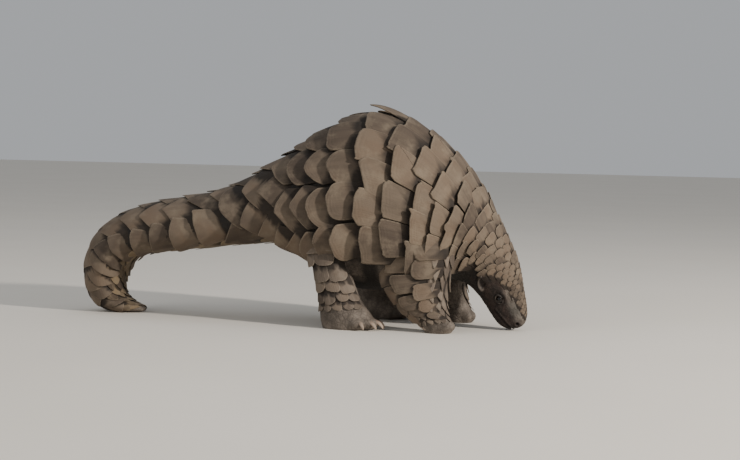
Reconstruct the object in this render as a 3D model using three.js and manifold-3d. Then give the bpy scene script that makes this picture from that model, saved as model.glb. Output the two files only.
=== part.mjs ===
// A ground pangolin at life size, walking with its back arched, its nose on the ground
// and the end of its tail curled down and under.
// Millimetres, +Z up, head towards +X, the animal's left side towards +Y, standing on z = 0.
import * as THREE from 'three';
import { mergeVertices } from 'three/addons/utils/BufferGeometryUtils.js';
import Module from 'manifold-3d';

const wasm = await Module();
wasm.setup();

// Driving dimensions
const cutGap = 0.3; // what two touching parts keep between them
const rootDepth = 3; // how far the blanket of scutes is sunk into the flesh under it
const coverDepth = 7; // how much deeper the flesh lies where scutes cover it
const shortestEdge = 0.06; // edges shorter than this are drawn together
const touchGap = 0.03; // how far apart two folds that would touch are drawn
const eye = { x: 175, z: 40, radius: 5.2, sunk: 2.2 };
const lid = { thickness: 1.8, forward: 0.6, opening: [4.6, 6.5, 3.1] };
const ear = { x: 154, z: 59, height: 19, width: 9, standOut: 4.5, cupDepth: 4 };
const nostril = { x: 197, z: 9, radius: 1.7 };
const mouth = { corner: [167, 27], front: [188, 4], width: 0.77 };

// Sections of the trunk from the nose to the tip of the tail. Each lies between a point of the
// back and a point of the underside, both [x, z]; half is its half width, waist the height of its
// widest level as a share of its depth, coat how deep the scutes lie over the flesh, and round
// how round its lower half is, from 0.5, squarish, to 1, half an ellipse, as it is where not given.
const trunkStations = [
  { name: 'nose', back: [199, 4], under: [189, 2.5], half: 4.5, waist: 0.5, coat: 0 },
  { name: 'nostrils', back: [205, 9], under: [182, 2], half: 9.5, waist: 0.5, coat: 0 },
  { name: 'muzzle end', back: [207.5, 19], under: [172, 7], half: 12.5, waist: 0.5, coat: 0 },
  { name: 'muzzle', back: [207, 33], under: [162, 18], half: 15.5, waist: 0.5, coat: 0.6 },
  { name: 'eyes', back: [204, 53], under: [149, 36], half: 22, waist: 0.46, coat: 1.8 },
  { name: 'cheeks', back: [200, 76], under: [137, 49], half: 31, waist: 0.44, coat: 2.4 },
  { name: 'crown', back: [193, 98], under: [127, 56], half: 38, waist: 0.44, coat: 3 },
  { name: 'nape', back: [181, 124], under: [117, 58], half: 46, waist: 0.44, coat: 4.5, round: 0.95 },
  { name: 'neck', back: [163, 159], under: [107, 57], half: 60, waist: 0.45, coat: 6.5, round: 0.75 },
  { name: 'shoulders', back: [135, 203], under: [93, 53], half: 77, waist: 0.46, coat: 8, round: 0.55 },
  { name: 'withers', back: [96, 242], under: [72, 46], half: 89, waist: 0.46, coat: 9, round: 0.5 },
  { name: 'front of back', back: [50, 270], under: [46, 39], half: 96, waist: 0.45, coat: 9.5, round: 0.65 },
  { name: 'top of back', back: [3, 279], under: [16, 36], half: 100, waist: 0.45, coat: 9.5, round: 0.9 },
  { name: 'rear of back', back: [-45, 264], under: [-16, 38], half: 100, waist: 0.45, coat: 9.5 },
  { name: 'loin', back: [-88, 238], under: [-49, 54], half: 96, waist: 0.46, coat: 9 },
  { name: 'rump', back: [-126, 213], under: [-81, 80], half: 88, waist: 0.45, coat: 6.5 },
  { name: 'tail root', back: [-163, 189], under: [-116, 98], half: 79, waist: 0.4, coat: 4.5 },
  { name: 'tail, first', back: [-204, 171], under: [-166, 96], half: 71, waist: 0.36, coat: 3.5 },
  { name: 'tail, second', back: [-250, 161], under: [-225, 89], half: 64, waist: 0.32, coat: 3.2 },
  { name: 'tail, third', back: [-300, 151], under: [-280, 83], half: 58, waist: 0.3, coat: 3.2 },
  { name: 'tail, fourth', back: [-341, 137], under: [-316, 76], half: 53, waist: 0.3, coat: 3.2 },
  { name: 'bend, first', back: [-373, 115], under: [-334, 62], half: 48, waist: 0.3, coat: 3.2 },
  { name: 'bend, second', back: [-393, 83], under: [-341, 47], half: 44, waist: 0.32, coat: 3.2 },
  { name: 'bend, third', back: [-397, 46], under: [-342, 32], half: 39, waist: 0.35, coat: 3.2 },
  { name: 'bend, fourth', back: [-383, 12], under: [-336, 22], half: 33, waist: 0.4, coat: 3.2 },
  { name: 'end of tail', back: [-352, -1], under: [-324, 15], half: 25, waist: 0.45, coat: 3 },
  { name: 'tip of tail', back: [-312, 0], under: [-307, 7], half: 9, waist: 0.45, coat: 1 },
];

// How the scutes grow on the trunk, at distances along the back from the nose: pitch from one
// scute to the next in its row, across from one to its neighbour in the same ring, reach round
// the body from the midline of the back, rise of the free edge over the flesh, square how squarely
// the free edge ends, from 0, a plain point, to 1, and full how far round the body they keep their
// whole width.
const backGrowth = [
  { at: 40, pitch: 12, across: 10, reach: 12, rise: 1.9, square: 0.8, full: 400 },
  { at: 66, pitch: 15, across: 12, reach: 28, rise: 2.8, square: 0.8, full: 400 },
  { at: 90, pitch: 20, across: 14, reach: 46, rise: 4, square: 0.8, full: 400 },
  { at: 116, pitch: 26, across: 17, reach: 80, rise: 5.6, square: 0.9, full: 400 },
  { at: 157, pitch: 38, across: 22, reach: 116, rise: 8.5, square: 1, full: 120 },
  { at: 197, pitch: 51, across: 27, reach: 152, rise: 11, square: 1, full: 145 },
  { at: 234, pitch: 64, across: 31, reach: 202, rise: 12.5, square: 1, full: 170 },
  { at: 274, pitch: 77, across: 36, reach: 244, rise: 13.5, square: 1, full: 186 },
  { at: 310, pitch: 86, across: 39.5, reach: 270, rise: 14, square: 1, full: 200 },
  { at: 345, pitch: 89, across: 41, reach: 274, rise: 14, square: 1, full: 212 },
  { at: 380, pitch: 85, across: 41, reach: 254, rise: 14, square: 0.95, full: 222 },
  { at: 420, pitch: 77, across: 42, reach: 226, rise: 14, square: 0.8, full: 400 },
  { at: 460, pitch: 66, across: 46, reach: 204, rise: 13, square: 0.6, full: 400 },
  { at: 500, pitch: 55, across: 51, reach: 186, rise: 12, square: 0.4, full: 400 },
  { at: 540, pitch: 44, across: 58, reach: 166, rise: 10, square: 0.25, full: 400 },
  { at: 580, pitch: 36, across: 68, reach: 146, rise: 8, square: 0.2, full: 400 },
  { at: 620, pitch: 33, across: 80, reach: 118, rise: 6.5, square: 0.15, full: 400 },
  { at: 700, pitch: 33, across: 84, reach: 120, rise: 5.5, square: 0.1, full: 400 },
  { at: 780, pitch: 33, across: 72, reach: 104, rise: 5.5, square: 0.15, full: 400 },
  { at: 842, pitch: 33, across: 60, reach: 84, rise: 5.5, square: 0.3, full: 400 },
  { at: 917, pitch: 32, across: 43, reach: 52, rise: 5, square: 0.5, full: 400 },
  { at: 964, pitch: 30, across: 32, reach: 32, rise: 4.2, square: 0.6, full: 400 },
];
// The lowest scutes of the shoulders and flanks: their width in full ones, and over what distance
// the scutes above them draw in
const narrowed = { width: 0.57, over: 50 };

// The flatter scutes under the tail, in the same terms but from the midline of the underside.
const underTailGrowth = [
  { at: 587, pitch: 44, across: 34, reach: 43, rise: 5, square: 0.5 },
  { at: 652, pitch: 44, across: 34, reach: 43, rise: 5.2, square: 0.5 },
  { at: 772, pitch: 46, across: 30, reach: 39, rise: 5, square: 0.4 },
  { at: 862, pitch: 44, across: 26, reach: 32, rise: 4.2, square: 0.4 },
  { at: 922, pitch: 38, across: 22, reach: 26, rise: 3.2, square: 0.4 },
];

// Sections of the left legs from inside the body to the sole, where back is the leg's front edge
// and under its rear edge; y is the middle of the section.
const foreLegStations = [
  { name: 'shoulder', back: [128, 132], under: [34, 128], half: 24, y: 46, coat: 5 },
  { name: 'upper arm', back: [128, 104], under: [34, 94], half: 24, y: 60, coat: 5 },
  { name: 'elbow', back: [125, 76], under: [34, 64], half: 25, y: 62, coat: 4.5 },
  { name: 'forearm', back: [121, 50], under: [50, 38], half: 23, y: 66, coat: 4 },
  { name: 'wrist', back: [122, 28], under: [70, 19], half: 20, y: 70, coat: 3 },
  { name: 'hand', back: [128, 13], under: [86, 7], half: 18.5, y: 72, coat: 2 },
  { name: 'palm', back: [127, 0], under: [94, -4], half: 16, y: 72, coat: 1 },
];
const hindLegStations = [
  { name: 'hip', back: [4, 140], under: [-80, 140], half: 26, y: 40, coat: 5 },
  { name: 'thigh', back: [-3, 108], under: [-74, 106], half: 27, y: 60, coat: 5 },
  { name: 'knee', back: [-2, 78], under: [-60, 76], half: 24, y: 69, coat: 4.5 },
  { name: 'shin', back: [6, 54], under: [-51, 50], half: 22, y: 73, coat: 4 },
  { name: 'ankle', back: [15, 34], under: [-46, 27], half: 22, y: 75, coat: 3 },
  { name: 'foot', back: [27, 18], under: [-43, 10], half: 23.5, y: 76, coat: 2 },
  { name: 'sole', back: [32, 2], under: [-38, -4], half: 22, y: 76, coat: 1 },
];

// The scutes of the arm point backwards, so their rings are counted round it, rearwards from the
// middle of its outer side. First and last are the places of the rows of scutes down the arm, in
// half widths; from wide on the rows get narrower, and down there the scutes get as small as end.
const armGrowth = [
  { at: -68, pitch: 68, across: 26, rise: 9.5, square: 1 },
  { at: 68, pitch: 68, across: 26, rise: 9.5, square: 1 },
];
const arm = { first: 2, last: 9, offset: 4, wide: 52, narrower: 0.0028, small: 114, end: 0.45 };

// How the scutes grow on a hind leg, at distances down its front edge, from the middle of its
// outer side: forward and rearward are the reach to either side of that line.
const hindLegGrowth = [
  { at: 30, pitch: 42, across: 32, forward: 26, rearward: 36, rise: 5, square: 0.8 },
  { at: 60, pitch: 37, across: 27, forward: 20, rearward: 34, rise: 4.8, square: 0.8 },
  { at: 88, pitch: 31, across: 22, forward: 18, rearward: 32, rise: 4.2, square: 0.8 },
  { at: 112, pitch: 22, across: 17, forward: 26, rearward: 34, rise: 3.2, square: 0.7 },
  { at: 126, pitch: 16, across: 14, forward: 34, rearward: 34, rise: 2.4, square: 0.7 },
];
// How far the scutes of the back's middle line stand up, in rises of those at its sides, and at
// what distances from the line that begins and ends
const middleLine = { rise: 0.5, from: 20, to: 90 };

// Heights and places where the body is parted
const parting = {
  foreLegTop: 93,
  hindLegTop: 97,
  wrist: 30,
  ankle: 33,
  legInner: 41,
  foreFoot: [58, 150],
  foreLeg: [26.5, 150],
  hindFoot: [-110, 57],
  hindLeg: [-110, 26],
  footBottom: -50,
  headEnd: 120,
  neckEnd: 198,
  tailStart: 600,
  tailBend: 742,
  tailTip: 870,
  headHalf: 62,
  neckHalf: 110,
  tailHalf: 130,
};
const wellClear = 200; // beyond the animal's sides, for the blocks that part it

// Number of steps of the flesh round the body and along it
const fleshSteps = { trunk: [16, 36], leg: [10, 8] };

// A share of the way between two values
const mix = (a, b, share) => a + (b - a) * share;

// A repeatable draw from 0 to 1 for the pair of numbers that names a scute
function draw(a, b, salt) {
  const wave = Math.sin(a * 12.9898 + b * 78.233 + salt * 37.719) * 43758.5453;
  return wave - Math.floor(wave);
}

// The entry of a growth table at a distance, each field between its neighbours'
function growthAt(table, distance) {
  let low = 0;
  while (low < table.length - 2 && table[low + 1].at < distance) low += 1;
  const [a, b] = [table[low], table[low + 1]];
  const share = THREE.MathUtils.clamp((distance - a.at) / (b.at - a.at), 0, 1);
  return Object.fromEntries(Object.keys(a).map((key) => [key, mix(a[key], b[key], share)]));
}

// A smooth body through its stations: a section for every distance along its back line
class Hull {
  constructor(stations, side = 1, centre = 0) {
    const smooth = (points) => new THREE.CatmullRomCurve3(points, false, 'catmullrom', 0.5);
    this.side = side;
    this.centre = centre; // the angle from which distances round the section are counted
    this.last = stations.length - 1;
    this.backLine = smooth(stations.map((s) => new THREE.Vector3(s.back[0], s.y ?? 0, s.back[1])));
    this.underLine = smooth(stations.map((s) => new THREE.Vector3(s.under[0], s.y ?? 0, s.under[1])));
    this.sizes = smooth(stations.map((s) => new THREE.Vector3(s.half, s.waist ?? 0.5, s.coat)));
    this.rounds = smooth(stations.map((s) => new THREE.Vector3(s.round ?? 1, 0, 0)));
    this.length = [0];
    const steps = this.last * Hull.lengthSteps;
    let previous = this.backLine.getPoint(0);
    for (let i = 1; i <= steps; i += 1) {
      const next = this.backLine.getPoint(i / steps);
      this.length.push(this.length[i - 1] + next.distanceTo(previous));
      previous = next;
    }
  }

  static lengthSteps = 16;

  static girthSteps = 90;

  get total() {
    return this.length[this.length.length - 1];
  }

  // The share of the stations passed at a distance along the back line
  shareAt(distance) {
    const wanted = THREE.MathUtils.clamp(distance, 0, this.total);
    let i = 1;
    while (i < this.length.length - 1 && this.length[i] < wanted) i += 1;
    const part = (wanted - this.length[i - 1]) / (this.length[i] - this.length[i - 1]);
    return (i - 1 + part) / (this.length.length - 1);
  }

  // The flesh's section: the middle of its widest level, arms to back and underside, half width,
  // and how round its lower half is
  section(distance) {
    const share = this.shareAt(distance);
    const back = this.backLine.getPoint(share);
    const under = this.underLine.getPoint(share);
    const { x: half, y: waist, z: coat } = this.sizes.getPoint(share);
    const depth = back.distanceTo(under);
    const middle = under.clone().lerp(back, waist);
    const flesh = 1 - (2 * coat) / depth;
    return {
      middle,
      up: back.sub(middle).multiplyScalar(flesh),
      down: under.sub(middle).multiplyScalar(flesh),
      half: half - coat,
      round: this.rounds.getPoint(share).x,
    };
  }

  // The point of the flesh at an angle round a section, 0 on the back and a quarter turn at the side
  static round({ middle, up, down, half, round }, angle) {
    const [height, aside] = [Math.cos(angle), Math.sin(angle)];
    const [arm, power] = height > 0 ? [up, 1] : [down, round];
    return new THREE.Vector3(0, half * Math.sign(aside) * Math.abs(aside) ** power, 0)
      .addScaledVector(arm, Math.abs(height) ** power)
      .add(middle);
  }

  // The angle at which a distance round the section ends, counted from the centre line
  angleAt(section, distance) {
    const step = (distance < 0 ? -Math.PI : Math.PI) / Hull.girthSteps;
    let left = Math.abs(distance);
    let angle = this.centre;
    let previous = Hull.round(section, angle);
    for (let i = 0; i < 2 * Hull.girthSteps; i += 1) {
      const next = Hull.round(section, angle + step);
      const piece = next.distanceTo(previous);
      if (piece >= left) return angle + (step * left) / piece;
      left -= piece;
      angle += step;
      previous = next;
    }
    return angle;
  }

  // A point over the flesh, from distances along the back line and round the section, and a height
  over(along, around, height) {
    const nudge = along > 2 ? -2 : 2;
    const section = this.section(along);
    const angle = this.angleAt(section, around);
    const point = Hull.round(section, angle);
    const ahead = Hull.round(this.section(along + nudge), angle).sub(point);
    const beside = Hull.round(section, angle + 0.02).sub(point);
    const normal = beside.cross(ahead).normalize();
    const outwards = Math.sign(normal.dot(point.clone().sub(section.middle)));
    point.addScaledVector(normal, outwards * height);
    point.y *= this.side;
    return point;
  }

  // The flesh as a closed grid of sections with flat ends. It is sunk where scutes cover it: cover
  // gives, for a distance along, how far round the scutes certainly reach and where they may end.
  flesh([around, along], cover, depth) {
    const grid = new THREE.SphereGeometry(1, around, along);
    const { position, uv } = grid.attributes;
    for (let i = 0; i < position.count; i += 1) {
      const ring = Math.round((1 - uv.getY(i)) * along);
      const distance = THREE.MathUtils.clamp((ring - 1) / (along - 2), 0, 1) * this.total;
      const section = this.section(distance);
      const angle = (Math.round(uv.getX(i) * around) / around) * 2 * Math.PI;
      const point = Hull.round(section, angle);
      const turn = Math.atan2(Math.sin(angle - this.centre), Math.cos(angle - this.centre));
      const towards = turn < 0 ? -1 : 1;
      const [sure, end] = cover(distance, towards).map(
        (reach) => Math.abs(this.angleAt(section, towards * reach) - this.centre),
      );
      const sunk = depth * THREE.MathUtils.smoothstep(-Math.abs(turn), -end, -sure);
      point.lerp(section.middle, sunk / point.distanceTo(section.middle));
      if (ring === 0 || ring === along) point.copy(section.middle);
      position.setXYZ(i, point.x, point.y * this.side, point.z);
    }
    return grid;
  }
}

// A closed three.js geometry as a solid, turned inside out if its faces point in
function solidOf(geometry) {
  const bare = geometry.clone();
  bare.deleteAttribute('normal');
  bare.deleteAttribute('uv');
  const merged = mergeVertices(bare, 1e-3);
  const index = merged.index.array;
  const triVerts = [];
  for (let i = 0; i < index.length; i += 3) {
    const [a, b, c] = [index[i], index[i + 1], index[i + 2]];
    if (a !== b && b !== c && a !== c) triVerts.push(a, b, c);
  }
  const build = (order) => new wasm.Manifold(new wasm.Mesh({
    numProp: 3,
    vertProperties: new Float32Array(merged.attributes.position.array),
    triVerts: new Uint32Array(order),
  }));
  const solid = build(triVerts);
  return solid.volume() > 0 ? solid : build(triVerts.reverse());
}

// A closed solid from its corner points and its faces, each a list of corners
function solidFromFaces(points, faces) {
  const geometry = new THREE.BufferGeometry();
  geometry.setAttribute('position', new THREE.Float32BufferAttribute(points.flatMap((p) => p.toArray()), 3));
  const fan = (face) => face.slice(2).flatMap((corner, i) => [face[0], face[i + 1], corner]);
  geometry.setIndex(faces.flatMap(fan));
  return solidOf(geometry);
}

const union = (solids) => wasm.Manifold.union(solids);

// The largest closed surface of a solid, without loose scraps and sealed hollows
function largest(solid) {
  const pieces = solid.decompose();
  return pieces.reduce((best, piece) => (piece.volume() > best.volume() ? piece : best));
}

// The bend of a scute's free edge between its side corner and its tip: how far along and how far
// across it lies on a square and on a pointed scute, and how high the edge and what lies under it
// are, as shares of the scute's rise
const bend = {
  square: { along: 0.86, across: 0.24 },
  pointed: { along: 0.56, across: 0.44 },
  over: 0.88,
  under: 0.32,
};
const underTip = 0.25;
const crownHeight = 0.6;

// How uneven the scutes are in their rise and in their places, as shares of rise and spacing
const riseSpread = 0.3;
const placeSpread = 0.08;
const mostPlaces = 30; // more than a ring has to either side

// The scutes of a growth table as one blanket that is sunk into the flesh: rings down the hull,
// every other one set half a place aside, each scute showing a lozenge between the tips of the
// two rings before it, with its free edge standing over the ring behind
class Blanket {
  constructor(hull, table, reachOf, { keep = () => true, placed = (spot) => spot, shrunk = () => 1 } = {}) {
    this.hull = hull;
    this.placed = placed;
    this.shrunk = shrunk;
    this.depth = coverDepth + rootDepth;
    this.rings = [];
    this.corners = new Map();
    this.points = [];
    this.spots = [];
    this.faces = [];
    let along = table[0].at;
    while (along <= table[table.length - 1].at) {
      const growth = growthAt(table, along);
      this.rings.push({ along, ...growth });
      along += growth.pitch / 2;
    }
    for (let ring = 2; ring < this.rings.length; ring += 1) {
      const growth = this.rings[ring];
      const [low, high] = reachOf(growth);
      for (let place = -mostPlaces; place <= mostPlaces; place += 1) {
        const aside = this.aside(ring, place);
        const inside = aside >= low && aside <= high && (place + ring) % 2 === 0;
        if (inside && keep(this.spot(ring, place))) this.addScute(ring, place);
      }
    }
  }

  // How far from the middle line a place of a ring lies: beyond full the places draw together
  aside(ring, place) {
    const { across, full = Infinity } = this.rings[ring];
    const even = (place * across) / 2;
    const beyond = (Math.abs(even) - full) / narrowed.over;
    const part = THREE.MathUtils.clamp(beyond, 0, 1);
    const drawnIn = part ** 3 - part ** 4 / 2 + Math.max(beyond - 1, 0);
    return even - Math.sign(even) * (1 - narrowed.width) * narrowed.over * drawnIn;
  }

  // Where the tip of a scute lies: distances along the back line and round the section
  spot(ring, place) {
    const { along, across, pitch } = this.rings[ring];
    return this.placed({
      along: along + pitch * placeSpread * (draw(ring, place, 1) - 0.5),
      around: this.aside(ring, place) + across * placeSpread * (draw(ring, place, 2) - 0.5),
    });
  }

  rise(ring, place) {
    const { rise, from, to } = middleLine;
    const spot = this.spot(ring, place);
    const aside = THREE.MathUtils.smoothstep(Math.abs(spot.around), from, to);
    const lowered = this.hull === trunk ? mix(rise, 1, aside) : this.shrunk(spot.along);
    return this.rings[ring].rise * lowered * (1 + riseSpread * (draw(ring, place, 3) - 0.5));
  }

  // The number of a corner, made when it is first asked for
  corner(key, spotKey, spot, height) {
    if (!this.corners.has(key)) {
      if (!this.corners.has(spotKey)) {
        this.corners.set(spotKey, this.spots.length);
        this.spots.push(this.hull.over(spot.along, spot.around, -this.depth));
      }
      this.corners.set(key, this.points.length);
      const { along, around } = spot;
      this.points.push({ at: this.hull.over(along, around, height), spot: this.corners.get(spotKey) });
    }
    return this.corners.get(key);
  }

  tip(ring, place, level) {
    const share = level === 'over' ? 1 : underTip;
    const name = `tip ${ring} ${place}`;
    return this.corner(`${name} ${level}`, name, this.spot(ring, place), share * this.rise(ring, place));
  }

  // The bend of a scute's free edge on one side, between its side corner and its tip
  bend(ring, place, side, level) {
    const from = this.spot(ring - 1, place + side);
    const to = this.spot(ring, place);
    const { square } = this.rings[ring];
    const spot = {
      along: mix(from.along, to.along, mix(bend.pointed.along, bend.square.along, square)),
      around: mix(from.around, to.around, mix(bend.pointed.across, bend.square.across, square)),
    };
    const name = `bend ${ring} ${place} ${side}`;
    return this.corner(`${name} ${level}`, name, spot, bend[level] * this.rise(ring, place));
  }

  addScute(ring, place) {
    const tip = this.tip(ring, place, 'over');
    const [before, behind] = [this.spot(ring - 2, place), this.spot(ring, place)];
    const crown = this.corner(
      `crown ${ring} ${place}`,
      `crown spot ${ring} ${place}`,
      { along: mix(before.along, behind.along, 0.5), around: mix(before.around, behind.around, 0.5) },
      crownHeight * this.rise(ring, place),
    );
    const head = this.tip(ring - 2, place, 'under');
    const foot = this.tip(ring, place, 'under');
    for (const side of [-1, 1]) {
      const corner = this.tip(ring - 1, place + side, 'under');
      const upper = this.bend(ring - 1, place + side, -side, 'under');
      const over = this.bend(ring, place, side, 'over');
      const under = this.bend(ring, place, side, 'under');
      const outline = [head, upper, corner, over, tip];
      const top = outline.slice(1).map((point, i) => [crown, outline[i], point]);
      const wall = [[corner, under, over], [over, under, foot], [over, foot, tip]];
      for (const face of [...top, ...wall]) this.faces.push(side > 0 ? face : face.reverse());
    }
  }

  // The blanket closed by a sunk copy of itself and a wall round its border
  solid() {
    const shift = this.points.length;
    const below = (corner) => shift + this.points[corner].spot;
    const edges = new Set(this.faces.flatMap(([a, b, c]) => [`${a} ${b}`, `${b} ${c}`, `${c} ${a}`]));
    const faces = [...this.faces];
    for (const [a, b, c] of this.faces) {
      faces.push([below(c), below(b), below(a)]);
      for (const [from, to] of [[a, b], [b, c], [c, a]]) {
        if (!edges.has(`${to} ${from}`)) faces.push([from, below(from), below(to), to]);
      }
    }
    return solidFromFaces([...this.points.map(({ at }) => at), ...this.spots], faces);
  }
}

const evenReach = ({ reach }) => [-reach, reach];
const outerReach = ({ forward, rearward }) => [-forward, rearward];

// How far round the scutes of a growth table certainly reach at a distance, and where they may end
function coverOf(table, reachOf) {
  return (distance, towards) => {
    if (distance < table[0].at + table[0].pitch || distance > table[table.length - 1].at) return [0, 1];
    const growth = growthAt(table, distance);
    const reach = Math.abs(reachOf(growth)[towards > 0 ? 1 : 0]);
    return [Math.max(reach - 1.5 * growth.across, 0), Math.max(reach - 0.9 * growth.across, 1)];
  };
}

// A curved, tapering claw along its own centre line
function claw(points, radius) {
  const line = new THREE.CatmullRomCurve3(points.map((p) => new THREE.Vector3(...p)));
  const [around, along] = [6, 5];
  const grid = new THREE.SphereGeometry(1, around, along);
  const { position, uv } = grid.attributes;
  for (let i = 0; i < position.count; i += 1) {
    const ring = Math.round((1 - uv.getY(i)) * along);
    const share = THREE.MathUtils.clamp((ring - 1) / (along - 1), 0, 1);
    const point = line.getPoint(share);
    if (ring > 0 && ring < along) {
      const tangent = line.getTangent(share);
      const side = new THREE.Vector3(0, 1, 0).cross(tangent).normalize();
      const lift = tangent.clone().cross(side);
      const angle = (Math.round(uv.getX(i) * around) / around) * 2 * Math.PI;
      const thick = radius * Math.sqrt(1 - share * 0.92);
      point.addScaledVector(side, Math.cos(angle) * thick);
      point.addScaledVector(lift, Math.sin(angle) * thick * 0.8);
    }
    position.setXYZ(i, point.x, point.y, point.z);
  }
  return solidOf(grid);
}

// A block between two corners
function block(low, high) {
  const size = high.map((value, i) => value - low[i]);
  const middle = high.map((value, i) => (value + low[i]) / 2);
  return solidOf(new THREE.BoxGeometry(...size).translate(...middle));
}

// A large block on one side of the trunk's section at a distance: -1 holds the head's side of it,
// 1 the tail's, starting a gap away from the section
function beyondSection(hull, distance, towards, halfWidth, gap) {
  const { middle, up } = hull.section(distance);
  const reach = 300;
  const across = new THREE.Vector3(0, 1, 0);
  const axis = across.clone().cross(up).normalize().multiplyScalar(-towards);
  const basis = new THREE.Matrix4().makeBasis(axis, across, axis.clone().cross(across));
  basis.setPosition(middle.clone().addScaledVector(axis, reach / 2 + gap));
  return solidOf(new THREE.BoxGeometry(reach, 2 * halfWidth, reach * 1.2).applyMatrix4(basis));
}

const trunk = new Hull(trunkStations);
const underTail = new Hull(trunkStations, 1, Math.PI);
const outerSide = Math.PI / 2;
const sides = { left: 1, right: -1 };
const strides = { fore: { left: -3, right: 0 }, hind: { left: 6, right: 0 } };

// A leg set forward by its stride
function legHull(stations, side, stride) {
  const moved = stations.map((s) => ({
    ...s,
    back: [s.back[0] + stride, s.back[1]],
    under: [s.under[0] + stride, s.under[1]],
  }));
  return new Hull(moved, side, outerSide);
}

// How small the arm's scutes are at a distance down it, in shares of the uppermost ones
const armShare = (down) => mix(1, arm.end, THREE.MathUtils.smoothstep(down, arm.offset, arm.small));

function armSpot({ along, around }) {
  const down = around + arm.offset - arm.narrower * Math.max(around - arm.wide, 0) ** 2;
  return { along: down, around: along * armShare(down) };
}

function armOf(side, stride) {
  const hull = legHull(foreLegStations, side, stride);
  const half = armGrowth[0].across / 2;
  const cover = (down) => [armGrowth[1].at * 0.3 * armShare(down), armGrowth[1].at * 0.5 * armShare(down)];
  const blanket = new Blanket(
    hull,
    armGrowth,
    () => [arm.first * half, arm.last * half],
    { placed: armSpot, shrunk: armShare },
  );
  return [solidOf(hull.flesh(fleshSteps.leg, cover, coverDepth)), blanket.solid()];
}

function hindLegOf(side, stride) {
  const hull = legHull(hindLegStations, side, stride);
  const flesh = hull.flesh(fleshSteps.leg, coverOf(hindLegGrowth, outerReach), coverDepth);
  return [solidOf(flesh), new Blanket(hull, hindLegGrowth, outerReach).solid()];
}

// The claws of a hand are folded back under it, and the nails of a foot point forwards
const handClaws = [
  { y: -11, root: 117, tip: 90, radius: 3.6 },
  { y: -1, root: 121, tip: 84, radius: 4.6 },
  { y: 9, root: 118, tip: 88, radius: 4 },
];
const footNails = [
  { y: -15, x: 24, turn: -0.35, radius: 4 },
  { y: -6, x: 31, turn: -0.12, radius: 4.4 },
  { y: 4, x: 32, turn: 0.1, radius: 4.6 },
  { y: 14, x: 27, turn: 0.4, radius: 4.2 },
  { y: 20, x: 15, turn: 0.8, radius: 3.6 },
];

const handMiddle = 72;
const footMiddle = 76;
const nailLine = [[-8, 11], [1, 9.5], [6, 6.5], [9, 2.5]]; // distances forwards and heights

function clawsOfHand(side, stride) {
  return handClaws.map(({ y, root, tip, radius }) => {
    const across = side * (handMiddle + y);
    const low = radius * 0.8;
    return claw([
      [root + stride, across, low + 5],
      [mix(root, tip, 0.4) + stride, across, low + 1.5],
      [mix(root, tip, 0.75) + stride, across, low + 1],
      [tip + stride, across, low + 4],
    ], radius);
  });
}

function nailsOfFoot(side, stride) {
  return footNails.map(({ y, x, turn, radius }) => {
    const reach = (distance, height) => [
      x + stride + distance * Math.cos(turn),
      side * (footMiddle + y + distance * Math.sin(turn)),
      height,
    ];
    return claw(nailLine.map((place) => reach(...place)), radius);
  });
}

// The point of the head's skin that has a place's x and z
function onHead(x, z, side) {
  const offLine = (distance) => {
    const { middle, up } = trunk.section(distance);
    return (x - middle.x) * up.z - (z - middle.z) * up.x;
  };
  let [near, far] = [2, parting.neckEnd];
  for (let i = 0; i < 40; i += 1) {
    const half = (near + far) / 2;
    if (offLine(half) * offLine(near) > 0) near = half;
    else far = half;
  }
  const { middle, up, down, half } = trunk.section(near);
  const away = new THREE.Vector3(x, 0, z).sub(middle);
  const arm = away.dot(up) > 0 ? up : down;
  return new THREE.Vector3(x, side * half * Math.sqrt(1 - away.lengthSq() / arm.lengthSq()), z);
}

// Eyes, ears, nostrils and mouth
function ball(centre, radii, steps = [14, 9]) {
  const shape = new THREE.SphereGeometry(1, ...steps).scale(...radii);
  return solidOf(shape.translate(centre.x, centre.y, centre.z));
}

function eyeCentre(side) {
  const centre = onHead(eye.x, eye.z, side);
  centre.y -= side * eye.sunk;
  return centre;
}

function eyeBall(side, grow) {
  const radius = eye.radius + grow;
  return ball(eyeCentre(side), [radius, radius, radius], [12, 8]);
}

// The lids: a thick ring round the eye that leaves an almond open
function lids(side) {
  const centre = eyeCentre(side);
  centre.y += side * lid.forward;
  const radius = eye.radius + lid.thickness;
  const whole = ball(centre, [radius * 1.15, radius * 0.85, radius], [12, 6]);
  const opening = ball(centre.clone().setY(centre.y + side * lid.opening[1]), lid.opening, [10, 4]);
  return whole.subtract(opening);
}

// The ear: an upright oval shell behind the eye, its lower half in the head, with a hollow cup
function earShell(side, grow) {
  const radii = [ear.width / 2 + 1.5, ear.standOut, ear.height / 2];
  return ball(onHead(ear.x, ear.z, side), radii.map((radius) => radius + grow), [10, 6]);
}

function earCup(side) {
  const centre = onHead(ear.x, ear.z, side).add(new THREE.Vector3(1, side * ear.standOut, -0.5));
  return ball(centre, [ear.width / 2 - 0.8, ear.cupDepth, ear.height / 2 - 3], [8, 4]);
}

// The mouth: a thin groove from one corner of the lips round the front to the other
function mouthGroove() {
  const { corner, front, width } = mouth;
  const edge = (x, z) => [-30, 30].map((y) => new THREE.Vector3(x, y, z));
  const points = [
    ...edge(...corner), ...edge(...front),
    ...edge(corner[0] + width, corner[1] + width), ...edge(front[0] + width, front[1] + width),
  ];
  const faces = [[0, 2, 3, 1], [4, 5, 7, 6], [0, 1, 5, 4], [2, 6, 7, 3], [0, 4, 6, 2], [1, 3, 7, 5]];
  return solidFromFaces(points, faces);
}

// The whole animal in one piece, with its flats on the floor
const aboveFloor = block([-600, -300, 0], [600, 300, 600]);

// A scute of the trunk is left out where a leg comes out under it
const legPlaces = [
  { from: 24, to: 150, below: 84 },
  { from: -95, to: 24, below: parting.hindLegTop },
];

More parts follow.
